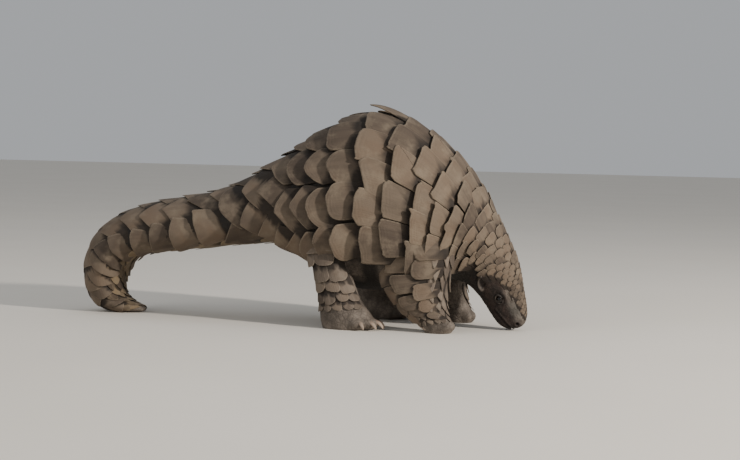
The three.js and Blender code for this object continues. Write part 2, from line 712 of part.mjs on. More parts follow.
function clearOfLegs({ along, around }) {
  const { x, z } = trunk.over(along, around, 0);
  return !legPlaces.some(({ from, to, below }) => x > from && x < to && z < below);
}

// The tail is covered all round, the body as far as its scutes reach
const trunkCover = (distance, towards) => (
  distance > parting.tailStart ? [400, 500] : coverOf(backGrowth, evenReach)(distance, towards)
);
const bodyParts = [
  solidOf(trunk.flesh(fleshSteps.trunk, trunkCover, coverDepth)),
  new Blanket(trunk, backGrowth, evenReach, { keep: clearOfLegs }).solid(),
  new Blanket(underTail, underTailGrowth, evenReach).solid(),
];
for (const [name, side] of Object.entries(sides)) {
  bodyParts.push(
    lids(side),
    ...armOf(side, strides.fore[name]),
    ...hindLegOf(side, strides.hind[name]),
    ...clawsOfHand(side, strides.fore[name]),
    ...nailsOfFoot(side, strides.hind[name]),
  );
}
let rest = union(bodyParts).intersect(aboveFloor).subtract(mouthGroove());
const solids = {};

for (const [name, side] of Object.entries(sides)) {
  solids[`eye_${name}`] = eyeBall(side, 0);
  solids[`ear_${name}`] = earShell(side, 0).subtract(earCup(side));
  rest = rest.subtract(eyeBall(side, cutGap)).subtract(earShell(side, cutGap));
  const hole = ball(onHead(nostril.x, nostril.z, side), [nostril.radius * 1.3, 3, nostril.radius], [8, 6]);
  rest = rest.subtract(hole);
}

// Parts are cut off the whole one after another: legs and feet, then head, neck and tail
const legZone = (side, [from, to], [low, high]) => (gap) => block(
  [from + gap, side > 0 ? parting.legInner + gap : -wellClear, low + gap],
  [to - gap, side > 0 ? wellClear : -parting.legInner - gap, high - gap],
);
const trunkZone = (distance, towards, halfWidth) => (gap) => (
  beyondSection(trunk, distance, towards, halfWidth - gap, gap)
);
const { foreFoot, foreLeg, hindFoot, hindLeg, footBottom, wrist, ankle } = parting;
const zones = [];
for (const [name, side] of Object.entries(sides)) {
  zones.push(
    [`forefoot_${name}`, legZone(side, foreFoot, [footBottom, wrist])],
    [`foreleg_${name}`, legZone(side, foreLeg, [wrist, parting.foreLegTop])],
    [`hindfoot_${name}`, legZone(side, hindFoot, [footBottom, ankle])],
    [`hindleg_${name}`, legZone(side, hindLeg, [ankle, parting.hindLegTop])],
  );
}
zones.push(
  ['head', trunkZone(parting.headEnd, -1, parting.headHalf)],
  ['neck', trunkZone(parting.neckEnd, -1, parting.neckHalf)],
  ['tail_tip', trunkZone(parting.tailTip, 1, parting.tailHalf)],
  ['tail_bend', trunkZone(parting.tailBend, 1, parting.tailHalf)],
  ['tail_base', trunkZone(parting.tailStart, 1, parting.tailHalf)],
);
for (const [name, zone] of zones) {
  solids[name] = largest(rest.intersect(zone(cutGap / 2)));
  rest = rest.subtract(zone(-cutGap / 2));
}
solids.torso = largest(rest);

// Finishes
const finishes = {
  scales: { color: 0x8a7d6c, roughness: 0.75, metalness: 0 },
  eye: { color: 0x0c0908, roughness: 0.15, metalness: 0 },
  skin: { color: 0x5b4c41, roughness: 0.85, metalness: 0 },
};

// A solid's surface with the corners of its shortest edges drawn together, without the faces that
// this folds flat, and with folds that only touch one another drawn slightly apart
function surfaceOf(solid) {
  const { vertProperties, triVerts } = solid.getMesh();
  const points = [];
  for (let i = 0; i < vertProperties.length; i += 3) {
    points.push(new THREE.Vector3().fromArray(vertProperties, i));
  }
  const joined = points.map((_, i) => i);
  const find = (corner) => (joined[corner] === corner ? corner : find(joined[corner]));
  const faces = [];
  for (let i = 0; i < triVerts.length; i += 3) faces.push([...triVerts.slice(i, i + 3)]);
  for (const face of faces) {
    face.forEach((corner, i) => {
      const next = face[(i + 1) % 3];
      if (points[corner].distanceTo(points[next]) < shortestEdge) joined[find(next)] = find(corner);
    });
  }
  const kept = new Map();
  const outwards = points.map(() => new THREE.Vector3());
  for (const face of faces.map((corners) => corners.map(find))) {
    const key = [...face].sort((a, b) => a - b).join(' ');
    if (new Set(face).size === 3 && !kept.delete(key)) kept.set(key, face);
  }
  for (const face of kept.values()) {
    const normal = new THREE.Vector3();
    new THREE.Triangle(...face.map((corner) => points[corner])).getNormal(normal);
    for (const corner of face) outwards[corner].add(normal);
  }
  const taken = new Set();
  for (const corner of new Set([...kept.values()].flat())) {
    const place = points[corner].toArray().map((value) => value.toFixed(2)).join(' ');
    if (taken.has(place)) points[corner].addScaledVector(outwards[corner].normalize(), -touchGap);
    taken.add(place);
  }
  const geometry = new THREE.BufferGeometry().setFromPoints(points);
  return geometry.setIndex([...kept.values()].flat());
}

const pangolin = new THREE.Group();
for (const [name, solid] of Object.entries(solids)) {
  const geometry = surfaceOf(solid);
  const finish = { eye: 'eye', ear: 'skin' }[name.slice(0, 3)] ?? 'scales';
  const mesh = new THREE.Mesh(geometry, new THREE.MeshStandardMaterial(finishes[finish]));
  mesh.name = name;
  pangolin.add(mesh);
}

// The middle of the animal's box stands over the origin
const box = new THREE.Box3().setFromObject(pangolin);
const shift = box.getCenter(new THREE.Vector3()).setZ(box.min.z).negate();
for (const mesh of pangolin.children) mesh.geometry.translate(...shift);

export default pangolin;
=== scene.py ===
"""A ground pangolin at life size, walking with its back arched, its nose on the ground
and the end of its tail curled down and under: its skin, scutes, eyes and claws.
"""
import math

import bmesh
import bpy
import numpy as np
from mathutils import Matrix, Vector, noise


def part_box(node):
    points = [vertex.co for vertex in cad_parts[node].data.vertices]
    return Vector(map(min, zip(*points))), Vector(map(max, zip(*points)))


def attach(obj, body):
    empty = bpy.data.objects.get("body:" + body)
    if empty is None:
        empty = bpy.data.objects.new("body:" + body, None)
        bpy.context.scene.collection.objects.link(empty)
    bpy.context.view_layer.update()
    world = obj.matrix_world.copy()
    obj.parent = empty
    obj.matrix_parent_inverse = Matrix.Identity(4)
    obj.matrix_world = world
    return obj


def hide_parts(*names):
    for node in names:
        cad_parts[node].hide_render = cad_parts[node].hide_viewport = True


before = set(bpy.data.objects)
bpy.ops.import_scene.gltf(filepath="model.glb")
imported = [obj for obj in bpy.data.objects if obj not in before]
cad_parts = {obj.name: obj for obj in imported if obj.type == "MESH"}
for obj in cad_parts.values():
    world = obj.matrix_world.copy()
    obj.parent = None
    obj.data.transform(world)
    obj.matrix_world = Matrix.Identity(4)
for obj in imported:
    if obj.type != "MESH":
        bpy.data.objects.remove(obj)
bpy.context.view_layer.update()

# Sizes are in millimetres of the animal's own frame: head towards +X, its left side towards
# +Y, standing on z = 0. The eyes tell where that frame lies in the model's frame, in metres.
MILLIMETRE = 0.001
EYE = {"x": 175.0, "z": 40.0, "radius": 5.2, "cornea": 0.45}
EYE_AIM = (0.12, 0.985, 0.1)  # the way the left eye looks
EAR = {"x": 155.0, "z": 61.0, "height": 19.0, "width": 9.0, "stand_out": 4.2}
NOSTRIL = {"x": 197.0, "z": 9.0, "radius": 2.0}
MOUTH = {"corner": (168.0, 26.0), "front": (188.0, 4.0)}
HEAD_AXIS = np.array([0.455, -0.89])  # from the neck to the nose, in x and z
HEAD_UP = np.array([0.89, 0.455])  # towards the top of the head
HEAD_BEHIND = -38  # how far behind the eye the head reaches in x
FINER_FROM = (-44, -34)  # where along the head, from the eye, its mesh gets finer, and again
EASED_FROM = -40  # where that finer mesh is made smooth
RELIEF_FROM = -46  # where the relief and the marks of the face start
SKIN_GRAIN = 2.1  # size of the skin's mesh
FLESH_STEP = 2.5  # from ring to ring of the flesh that it is drawn over
FLESH_COLUMNS = {"trunk": 120, "leg": 72}

# Sections of the trunk from the nose to the tip of the tail: a point of the back and one of the
# underside, each x and z, then half the width, the height of the widest level as a share of the
# depth, how deep the scutes lie over the flesh, and how round the lower half is (1 is an ellipse)
TRUNK_STATIONS = [
    ((199, 4), (189, 2.5), 4.5, 0.5, 0, 1),  # nose
    ((205, 9), (182, 2), 9.5, 0.5, 0, 1),  # nostrils
    ((207.5, 19), (172, 7), 12.5, 0.5, 0, 1),  # muzzle end
    ((207, 33), (162, 18), 15.5, 0.5, 0.6, 1),  # muzzle
    ((204, 53), (149, 36), 22, 0.46, 1.8, 1),  # eyes
    ((200, 76), (137, 49), 31, 0.44, 2.4, 1),  # cheeks
    ((193, 98), (127, 56), 38, 0.44, 3, 1),  # crown
    ((181, 124), (117, 58), 46, 0.44, 4.5, 0.95),  # nape
    ((163, 159), (107, 57), 60, 0.45, 6.5, 0.75),  # neck
    ((135, 203), (93, 53), 77, 0.46, 8, 0.55),  # shoulders
    ((96, 242), (72, 46), 89, 0.46, 9, 0.5),  # withers
    ((50, 270), (46, 39), 96, 0.45, 9.5, 0.65),  # front of the back
    ((3, 279), (16, 36), 100, 0.45, 9.5, 0.9),  # top of the back
    ((-45, 264), (-16, 38), 100, 0.45, 9.5, 1),  # rear of the back
    ((-88, 238), (-49, 54), 96, 0.46, 9, 1),  # loin
    ((-126, 213), (-81, 80), 88, 0.45, 6.5, 1),  # rump
    ((-163, 189), (-116, 98), 79, 0.4, 4.5, 1),  # tail root
    ((-204, 171), (-166, 96), 71, 0.36, 3.5, 1),  # tail, first
    ((-250, 161), (-225, 89), 64, 0.32, 3.2, 1),  # tail, second
    ((-300, 151), (-280, 83), 58, 0.3, 3.2, 1),  # tail, third
    ((-341, 137), (-316, 76), 53, 0.3, 3.2, 1),  # tail, fourth
    ((-373, 115), (-334, 62), 48, 0.3, 3.2, 1),  # bend, first
    ((-393, 83), (-341, 47), 44, 0.32, 3.2, 1),  # bend, second
    ((-397, 46), (-342, 32), 39, 0.35, 3.2, 1),  # bend, third
    ((-383, 12), (-336, 22), 33, 0.4, 3.2, 1),  # bend, fourth
    ((-352, -1), (-324, 15), 25, 0.45, 3, 1),  # end of the tail
    ((-312, 0), (-307, 7), 9, 0.45, 1, 1),  # tip of the tail
]

# Sections of the left legs from inside the body to the sole: a point of the front edge and one
# of the rear edge, then half the width, the middle's distance from the midline and the coat
FORE_LEG_STATIONS = [
    ((128, 132), (34, 128), 24, 46, 5),  # shoulder
    ((128, 104), (34, 94), 24, 60, 5),  # upper arm
    ((125, 76), (34, 64), 25, 62, 4.5),  # elbow
    ((121, 50), (50, 38), 23, 66, 4),  # forearm
    ((122, 28), (70, 19), 20, 70, 3),  # wrist
    ((128, 13), (86, 7), 18.5, 72, 2),  # hand
    ((127, 0), (94, -4), 16, 72, 1),  # palm
]
HIND_LEG_STATIONS = [
    ((4, 140), (-80, 140), 26, 40, 5),  # hip
    ((-3, 108), (-74, 106), 27, 60, 5),  # thigh
    ((-2, 78), (-60, 76), 24, 69, 4.5),  # knee
    ((6, 54), (-51, 50), 22, 73, 4),  # shin
    ((15, 34), (-46, 27), 22, 75, 3),  # ankle
    ((27, 18), (-43, 10), 23.5, 76, 2),  # foot
    ((32, 2), (-38, -4), 22, 76, 1),  # sole
]
SIDES = {"left": 1, "right": -1}
STRIDES = {"fore": {"left": -3, "right": 0}, "hind": {"left": 6, "right": 0}}

# The nails of the feet and the claws of the hands, with the middle of each sole
FOOT_NAILS = [
    {"y": -15, "x": 24, "turn": -0.35, "radius": 4},
    {"y": -6, "x": 31, "turn": -0.12, "radius": 4.4},
    {"y": 4, "x": 32, "turn": 0.1, "radius": 4.6},
    {"y": 14, "x": 27, "turn": 0.4, "radius": 4.2},
    {"y": 20, "x": 15, "turn": 0.8, "radius": 3.6},
]
HAND_CLAWS = [
    {"y": -11, "root": 117, "tip": 90, "radius": 3.6},
    {"y": -1, "root": 121, "tip": 84, "radius": 4.6},
    {"y": 9, "root": 118, "tip": 88, "radius": 4.0},
]
HAND_MIDDLE = 72
FOOT_MIDDLE = 76
NAIL_LINE = ((-8, 11), (1, 9.5), (6, 6.5), (9, 2.5))  # how far forwards and how high it runs
CLAW_LINE = ((0, 5), (0.4, 1.5), (0.75, 1), (1, 4))  # shares from root to tip, rise over its base
CLAW_BASE = 0.8  # the height of that base, in the claw's radius
TOE = {"x": -5, "long": 9.5, "wider": 1.4, "high": 6.2}  # the lump of flesh over a nail
KNUCKLE = {"x": 1, "long": 9, "wider": 2.6, "high": 7.6}  # and over a claw's root
TOE_HEIGHT = 8.5

# How the scutes grow, at distances along the back from the nose: from one to the next in its
# row, from one to its neighbour in the same ring, their reach to either side of the middle line,
# the rise of the free edge over the flesh, the length over which a scute narrows to its tip, as
# a share of its row's pitch, how blunt the free end is (1 a plain point), how wide a scute is, as
# a share of the distance between neighbours, and how far from the middle line they get narrower
GROWTH_FIELDS = ("at", "pitch", "across", "low", "high", "rise", "cap", "blunt", "wide", "full")
BACK_GROWTH = [
    (22, 7, 5, -9, 9, 1.6, 0.5, 2.2, 1, 400),
    (44, 9.5, 6.5, -18, 18, 2.5, 0.5, 2.2, 1, 400),
    (66, 12, 8.5, -30, 30, 3.5, 0.45, 2.4, 1, 400),
    (90, 17, 11.5, -48, 48, 4.8, 0.36, 2.6, 1, 400),
    (116, 24, 15.5, -80, 80, 6.6, 0.28, 3, 1, 400),
    (157, 38, 20.5, -116, 116, 9.4, 0.2, 3.6, 1, 120),
    (197, 51, 26, -152, 152, 12, 0.14, 4.4, 1.06, 145),
    (234, 64, 31, -202, 202, 13, 0.12, 4.8, 1.09, 170),
    (274, 77, 36, -244, 244, 14, 0.11, 5, 1.1, 186),
    (310, 86, 39.5, -270, 270, 14.5, 0.11, 5, 1.1, 200),
    (345, 89, 41, -274, 274, 15, 0.12, 4.8, 1.1, 212),
    (380, 85, 41, -254, 254, 15, 0.16, 3.6, 1.09, 222),
    (420, 77, 42, -226, 226, 15, 0.26, 2.2, 1.05, 400),
    (460, 66, 46, -204, 204, 14, 0.4, 1.42, 1, 400),
    (500, 55, 51, -186, 186, 12.5, 0.5, 1.24, 1, 400),
    (540, 44, 58, -166, 166, 10, 0.65, 1.12, 1, 400),
    (580, 36, 68, -148, 148, 8.5, 0.85, 1.05, 0.98, 400),
    (620, 33, 80, -126, 126, 6.8, 1.05, 1.02, 0.97, 400),
    (700, 33, 84, -116, 116, 5.6, 1.1, 1, 0.97, 400),
    (780, 33, 72, -104, 104, 5.2, 1.05, 1, 0.97, 400),
    (842, 33, 60, -84, 84, 5.0, 0.85, 1.16, 0.97, 400),
    (917, 32, 42, -52, 52, 4.6, 0.8, 1.5, 0.95, 400),
    (962, 28, 28, -34, 34, 3.6, 0.7, 1.6, 0.95, 400),
    (976, 24, 22, -24, 24, 2.6, 0.7, 1.6, 1, 400),
]
NARROWED = {"width": 0.57, "over": 50}  # the lowest scutes of the shoulders, in full widths
UNDER_TAIL_GROWTH = [
    (587, 44, 34, -34, 34, 2.6, 0.5, 1.7, 0.97),
    (652, 44, 34, -34, 34, 2.4, 0.5, 1.6, 0.97),
    (772, 46, 26, -34, 34, 2.8, 0.6, 1.5, 0.97),
    (862, 44, 19, -32, 32, 3.4, 0.7, 1.4, 0.97),
    (922, 38, 15, -26, 26, 3.2, 0.7, 1.4, 0.97),
    (976, 30, 12, -16, 16, 2.4, 0.7, 1.5, 0.97),
]
# The scutes of the arm point backwards: in this table their rows run down the leg, so that the
# first size is their width and the second their length
ARM_GROWTH = [
    (30, 27, 68, -24, 70, 11, 0.13, 3.2, 1.07),
    (58, 24, 62, -20, 66, 10, 0.14, 3, 1.07),
    (80, 20, 50, -14, 56, 8, 0.18, 2.8, 1.05),
    (100, 16, 36, -10, 44, 6, 0.3, 2.2, 1),
    (114, 13, 26, -8, 34, 4.6, 0.4, 2, 1),
]
FORE_LEG_GROWTH = [
    (54, 30, 12, -52, -24, 6.0, 0.9, 1.2, 1),
    (84, 26, 10, -46, -18, 5.4, 0.9, 1.2, 1),
    (100, 21, 9, -40, -4, 4.6, 0.9, 1.25, 1),
    (112, 16, 8.5, -36, 26, 3.4, 0.8, 1.4, 1),
    (126, 11, 8, -30, 24, 2.0, 0.6, 1.8, 1),
]
HIND_LEG_GROWTH = [
    (30, 42, 32, -26, 36, 5.0, 0.25, 3, 1.04),
    (60, 37, 27, -20, 34, 4.8, 0.28, 3, 1.04),
    (88, 31, 22, -18, 32, 4.2, 0.3, 2.6, 1.04),
    (112, 22, 17, -26, 34, 3.2, 0.4, 2.4, 1),
    (130, 15, 13, -34, 34, 2.2, 0.5, 2.1, 1),
]
FULL_WIDTH = 400  # in a table that doesn't say where scutes get narrower, they never do
MOST_PLACES = 60  # the most half places of a ring to either side of its middle

# Scutes rise less on the middle line: their rise there in that of the others, on the shoulders,
# the back and the tail, the distances where one goes over into the next, and how far aside it ends
MIDDLE_RISE = {"shoulders": 0.46, "back": 0.62, "tail": 0.5}
MIDDLE_BLENDS = {"back": (300, 400), "tail": (500, 620), "aside": (20, 90)}
# The tail's outer scutes: their shape, how far each is moved down and back, and where they begin
# and end, along the tail and aside in distances between neighbours
TAIL_MARGIN = {"cap": 0.1, "blunt": 4, "broad": 58, "slant": 0.2}
MARGIN_MOVE = {"down": 8, "back": 4}
MARGIN_ALONG = ((590, 630), (800, 860))
MARGIN_ASIDE = ((0.7, 0.9), (1.15, 1.3))

# One scute of the back stands out over its neighbours
STRAY = {"along": 380, "around": -8, "lift": 7, "cap": 0.45, "blunt": 1.5, "broad": 26}

# A scute of the trunk is left out where a leg comes out under it
LEG_PLACES = [
    {"from": 24, "to": 150, "below": 84},
    {"from": -95, "to": 24, "below": 97},
]

# Shape of a scute, in shares of its own sizes
WHOLE_LENGTH = 1.18  # its whole length, in pitches
TIP_LENGTH = 0.2  # how much longer it is, in lengths of its narrowing end
POINTED = {"from": 0.4, "longer": 0.7}  # and of what is more than this of that end, in pitches
ROOT_WIDTH = 0.88  # the width of its root, in widths
ROOT_DEPTH = 0.1  # how deep its root is sunk into the skin, in rises
THICKNESS = 0.2  # its thickness, in rises
TAIL_THICKNESS = 1.8  # how many times thicker the pointed scutes of the tail are
TAIL_POINTS = (0.6, 1)  # the narrowing ends between which they get so thick, in pitches
DOME = 0.012  # how far it bulges in its middle, in widths
FLARE = 1.3  # how much more of its rise it gains towards its free edge
RIPPLES = (2, 3, 4, 5, 7, 10)  # the waves of its rim, by their number round it
RIPPLE = {"height": 0.05, "fade": 0.7, "across": 0.45, "along": 0.42}
NEXT_EDGE = 0.5  # how far behind its tip the tips of the next scutes lie, in pitches
GAP_SHADE = 0.15  # how far before their free edges a painted shadow darkens it, in pitches
GAP_DARK = 0.3  # the share of that next to them where it is fully dark
UNEVEN = 0.15  # how far scutes lie off their even places, in shares of their spacing
TURN = 6.3  # about a full turn, for draws and marks
MAP_FACES, MAP_BACKS = (-0.46, 0.28), (0.32, 0.46)  # where they lie across a cell of the map
MAP_LENGTH = 0.45  # how far both reach along it, in pitches
MAP_WIDEST = 1.15  # half the width of the widest rim, in half widths

# How scutes differ: the ends of each range and the number of its draw
VARIED = {
    "cap": (0.7, 1.35, 4),
    "blunt": (0.85, 1.25, 17),
    "rise": (0.87, 1.12, 3),
    "thickness": (0.85, 1.2, 5),
    "curl": (-0.048, 0.072, 6),
    "slant": (-0.2, 0.2, 16),
    "twist": (-0.08, 0.08, 7),
    "lean": (-0.07, 0.07, 8),
}

# The points of a scute's outline along its free end, each side and its root, and the rings from
# the middle of its face over its rim to the middle of its back: how far out each one lies, and how
# far down through its thickness
FINE = {
    "free": 22, "side": 5, "root": 4,
    "rings": [
        (0.14, 0), (0.32, 0), (0.5, 0), (0.66, 0), (0.8, 0), (0.9, 0), (0.955, 0.03), (0.985, 0.14),
        (1, 0.36), (1, 0.66), (0.98, 0.9), (0.9, 1), (0.6, 1), (0.25, 1),
    ],
}
COARSE = {
    "free": 14, "side": 3, "root": 2,
    "rings": [
        (0.3, 0), (0.6, 0), (0.85, 0), (0.96, 0.08), (1, 0.4), (0.98, 0.85), (0.8, 1), (0.3, 1),
    ],
}
TAIL_NODES = ["tail_base", "tail_bend", "tail_tip"]
BACK_PIECES = [  # name, first and last distance along the back, nodes and mesh
    ("scutes_head", 0, 120, ["head"], COARSE),
    ("scutes_neck", 120, 232, ["neck"], FINE),
    ("scutes_withers", 232, 345, ["torso"], FINE),
    ("scutes_back", 345, 440, ["torso"], FINE),
    ("scutes_rump", 440, 600, ["torso"], FINE),
    ("scutes_tail", 600, 980, TAIL_NODES, FINE),
]

SCUTE_PAINTS = {
    "scutes": {"light": 0x6B5E50, "dark": 0x443A31, "warm": 0x645242, "rim": 0x827564},
    "leg_scutes": {"light": 0x74685C, "dark": 0x4A4037, "warm": 0x68594A, "rim": 0x877C6E},
    "under_scutes": {"light": 0x7A6B55, "dark": 0x3F342B, "warm": 0x756046, "rim": 0x8F806A},
}
# The painted shadow that darkens a scute just before the free edges of the next ones
SCUTE_GAP_SHADOW = 0x17120F
LEG_SKIN, LEG_CREASE = (0x524A42, 0x776D63), 0x3A322C
# The belly's dark bare skin, darkened further to near black by painted shade
BELLY_SHADE = 0x16120F
FACE_SKIN, FACE_SPECK = (0x1E1815, 0x3A2E28), 0x4E463F
# The lid colour: pale skin together with a painted highlight, laid only on the lower lid
SNOUT_SKIN, LID_SKIN_AND_HIGHLIGHT = (0x48443E, 0x665F57), 0x6A6158
PUPIL, IRIS, IRIS_RIM = 0x040303, (0x0E0806, 0x1E120B), 0x0A0706
CLAW_HORN, CLAW_STAIN = (0x6A574D, 0xA08E7D), 0x4A3C33
FLOOR_TONES = (0xDDD7CC, 0xE4DED4)
SKY_TONE = 0xD9DCE0

# The stage, in metres and watts
FLOOR_REACH = 12.0
CAMERA = {"turn": 15.0, "distance": 2.3, "height": 0.237, "tilt": 2.89, "roll": 1.2, "lens": 86.74}
LIGHTS = {
    "key": {"place": (2.8, -1.1, 1.3), "size": 0.16, "power": 122, "colour": (1, 0.94, 0.87)},
    "fill": {"place": (-1.8, -2.4, 1.6), "size": 2.0, "power": 20, "colour": (1, 0.98, 0.95)},
    "top": {"place": (-0.3, 0.6, 2.6), "size": 2.0, "power": 6, "colour": (0.94, 0.97, 1)},
}
LIT_POINT = (0, 0, 0.12)
SKY_STRENGTH = 0.6


def mix(first, second, share):
    """A share of the way between two values."""
    return first + (second - first) * share


def draw(first, second, salt):
    """A repeatable draw from 0 to 1 for each pair of numbers that names a scute."""
    wave = np.sin(first * 12.9898 + second * 78.233 + salt * 37.719) * 43758.5453
    return wave - np.floor(wave)


def smooth_step(value, low, high):
    """0 at low, 1 at high and a smooth slope between, flat beyond them."""
    share = np.clip((value - low) / (high - low), 0, 1)
    return share * share * (3 - 2 * share)


def swell(value, middle, width):
    """A smooth hump of height 1 round a middle."""
    return np.exp(-(((value - middle) / width) ** 2))


def length_of(vectors):
    return np.linalg.norm(vectors, axis=-1, keepdims=True)


def row_shift():
    """Where the animal's own frame lies in the model's frame."""
    middles = [sum(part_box(f"eye_{side}"), Vector()) / 2 for side in SIDES]
    middle = (middles[0] + middles[1]) / 2
    return np.array(middle) - np.array([EYE["x"], 0, EYE["z"]]) * MILLIMETRE


SHIFT = row_shift()


def to_model(points):
    """Points of the animal's own frame in the model's frame, none below the floor."""
    placed = np.asarray(points) * MILLIMETRE + SHIFT
    placed[..., 2] = np.maximum(placed[..., 2], 0)
    return placed


def smooth_line(points, share):
    """Points of a smooth curve through others, at shares of the way in stations."""
    points = np.asarray(points, float)
    ends = 2 * points[[0, -1]] - points[[1, -2]]
    through = np.vstack([ends[:1], points, ends[1:]])
    place = np.clip(share, 0, 1) * (len(points) - 1)
    low = np.minimum(place.astype(int), len(points) - 2)
    t = (place - low)[:, None]
    a, b, c, d = (through[low + i] for i in range(4))
    return 0.5 * (2 * b + (c - a) * t + (2 * a - 5 * b + 4 * c - d) * t**2 + (3 * b - a - 3 * c + d) * t**3)


class Hull:
    """A smooth body through its stations, with a place for each distance along its back line
    and each distance round its section."""

    STEP = 2.0
    GIRTH_STEPS = 64

    def __init__(self, stations, side=1, centre=0.0, stride=0.0):
        self.side = side
        self.centre = centre
        on_trunk = stations is TRUNK_STATIONS
        across = [0 if on_trunk else s[3] for s in stations]
        waist = [s[3] if on_trunk else 0.5 for s in stations]
        roundness = [(s[5] if on_trunk else 1, 0, 0) for s in stations]
        back = [(s[0][0] + stride, y, s[0][1]) for s, y in zip(stations, across)]
        under = [(s[1][0] + stride, y, s[1][1]) for s, y in zip(stations, across)]
        sizes = [(s[2], w, s[4]) for s, w in zip(stations, waist)]
        shares = np.linspace(0, 1, 16 * (len(stations) - 1) + 1)
        steps = length_of(np.diff(smooth_line(back, shares), axis=0))[:, 0]
        lengths = np.concatenate([[0], np.cumsum(steps)])
        self.total = lengths[-1]
        self.lines = (back, under, sizes, roundness)
        self.shares = (lengths, shares)
        self.distances = np.arange(0, self.total + Hull.STEP, Hull.STEP)
        self.lay_out()

    def sections(self, distances):
        """Middle, arms to the back and the underside, and half width of the flesh's sections."""
        share = np.interp(distances, *self.shares)
        back, under, sizes, roundness = (smooth_line(line, share) for line in self.lines)
        half, waist, coat = sizes[:, :1], sizes[:, 1:2], sizes[:, 2:]
        middle = mix(under, back, waist)
        flesh = 1 - 2 * coat / length_of(back - under)
        return middle, (back - middle) * flesh, (under - middle) * flesh, half - coat, roundness[:, :1]

    def ring_points(self, distances, angles):
        """Points of the flesh for each distance and each angle, 0 on the back."""
        middle, up, down, half, roundness = (part[:, None] for part in self.sections(distances))
        height, side = np.cos(angles)[None, :, None], np.sin(angles)[None, :, None]
        power = np.where(height > 0, 1, roundness)
        arms = np.where(height > 0, up, down) * np.abs(height) ** power
        return middle + arms + half * np.sign(side) * np.abs(side) ** power * np.array([0, 1, 0])

    def lay_out(self):
        """The table of places and normals over the whole body, at even steps."""
        count = Hull.GIRTH_STEPS
        angles = self.centre + np.linspace(-math.pi, math.pi, 2 * count + 1)
        points = self.ring_points(self.distances, angles)
        steps = length_of(np.diff(points, axis=1))[..., 0]
        round_it = np.concatenate([np.zeros((len(points), 1)), np.cumsum(steps, axis=1)], axis=1)
        round_it -= round_it[:, count:count + 1]
        self.girths = round_it[:, -1]
        self.reach = np.ceil(np.abs(round_it).max() / Hull.STEP) * Hull.STEP
        even = np.arange(-self.reach, self.reach + Hull.STEP, Hull.STEP)
        self.places = np.empty((len(points), len(even), 3))
        for row, (ring, arc) in enumerate(zip(points, round_it)):
            for axis in range(3):
                self.places[row, :, axis] = np.interp(even, arc, ring[:, axis])
        ahead = np.gradient(self.places, axis=0)
        beside = np.gradient(self.places, axis=1)
        normals = np.cross(beside, ahead)
        outwards = self.places - self.sections(self.distances)[0][:, None]
        normals *= np.sign((normals * outwards).sum(-1, keepdims=True))
        self.normals = normals / np.maximum(length_of(normals), 1e-9)

    def girth(self, along):
        """The distance half round the section."""
        return np.interp(along, self.distances, self.girths)

    def over(self, along, around, height):
        """Points over the flesh at distances along the back and round the section."""
        row = np.clip(along / Hull.STEP, 0, len(self.places) - 1.001)
        column = np.clip((around + self.reach) / Hull.STEP, 0, self.places.shape[1] - 1.001)
        low_row, low_column = row.astype(int), column.astype(int)
        down, right = (row - low_row)[..., None], (column - low_column)[..., None]
        found = []
        for table in (self.places, self.normals):
            first = mix(table[low_row, low_column], table[low_row, low_column + 1], right)
            second = mix(table[low_row + 1, low_column], table[low_row + 1, low_column + 1], right)
            found.append(mix(first, second, down))
        place, normal = found
        point = place + normal / np.maximum(length_of(normal), 1e-6) * height[..., None]
        return point * np.array([1, self.side, 1])


trunk = Hull(TRUNK_STATIONS)
under_tail = Hull(TRUNK_STATIONS, centre=math.pi)


def leg_hulls():
    """The four legs' hulls by the names of their nodes."""
    made = {}
    for side_name, side in SIDES.items():
        for leg, stations in (("fore", FORE_LEG_STATIONS), ("hind", HIND_LEG_STATIONS)):
            stride = STRIDES[leg][side_name]
            made[f"{leg}leg_{side_name}"] = Hull(stations, side, math.pi / 2, stride)
    return made


legs = leg_hulls()


# Shader making
class Value:
    """A socket of a shader that sums are written with."""

    def __init__(self, finish, socket):
        self.finish = finish
        self.socket = socket

    def sum(self, operation, *values):
        return self.finish.node("ShaderNodeMath", {"operation": operation}, dict(enumerate(values)))

    def __add__(self, other):
        return self.sum("ADD", self, other)

    def __radd__(self, other):
        return self.sum("ADD", other, self)

    def __sub__(self, other):
        return self.sum("SUBTRACT", self, other)

    def __rsub__(self, other):
        return self.sum("SUBTRACT", other, self)

    def __mul__(self, other):
        return self.sum("MULTIPLY", self, other)

    def __rmul__(self, other):
        return self.sum("MULTIPLY", other, self)

    def sine(self):
        return self.sum("SINE", self)

    def slope(self, low, high):
        """0 below low, 1 above high and a smooth slope between."""
        settings = {"interpolation_type": "SMOOTHSTEP"}
        sockets = {"Value": self, "From Min": low, "From Max": high}
        return self.finish.node("ShaderNodeMapRange", settings, sockets)


def paint(code):
    """A colour written as in a paint chart, as the shader takes it."""
    shares = [((code >> shift) & 255) / 255 for shift in (16, 8, 0)]
    return [s / 12.92 if s < 0.04045 else ((s + 0.055) / 1.055) ** 2.4 for s in shares] + [1.0]


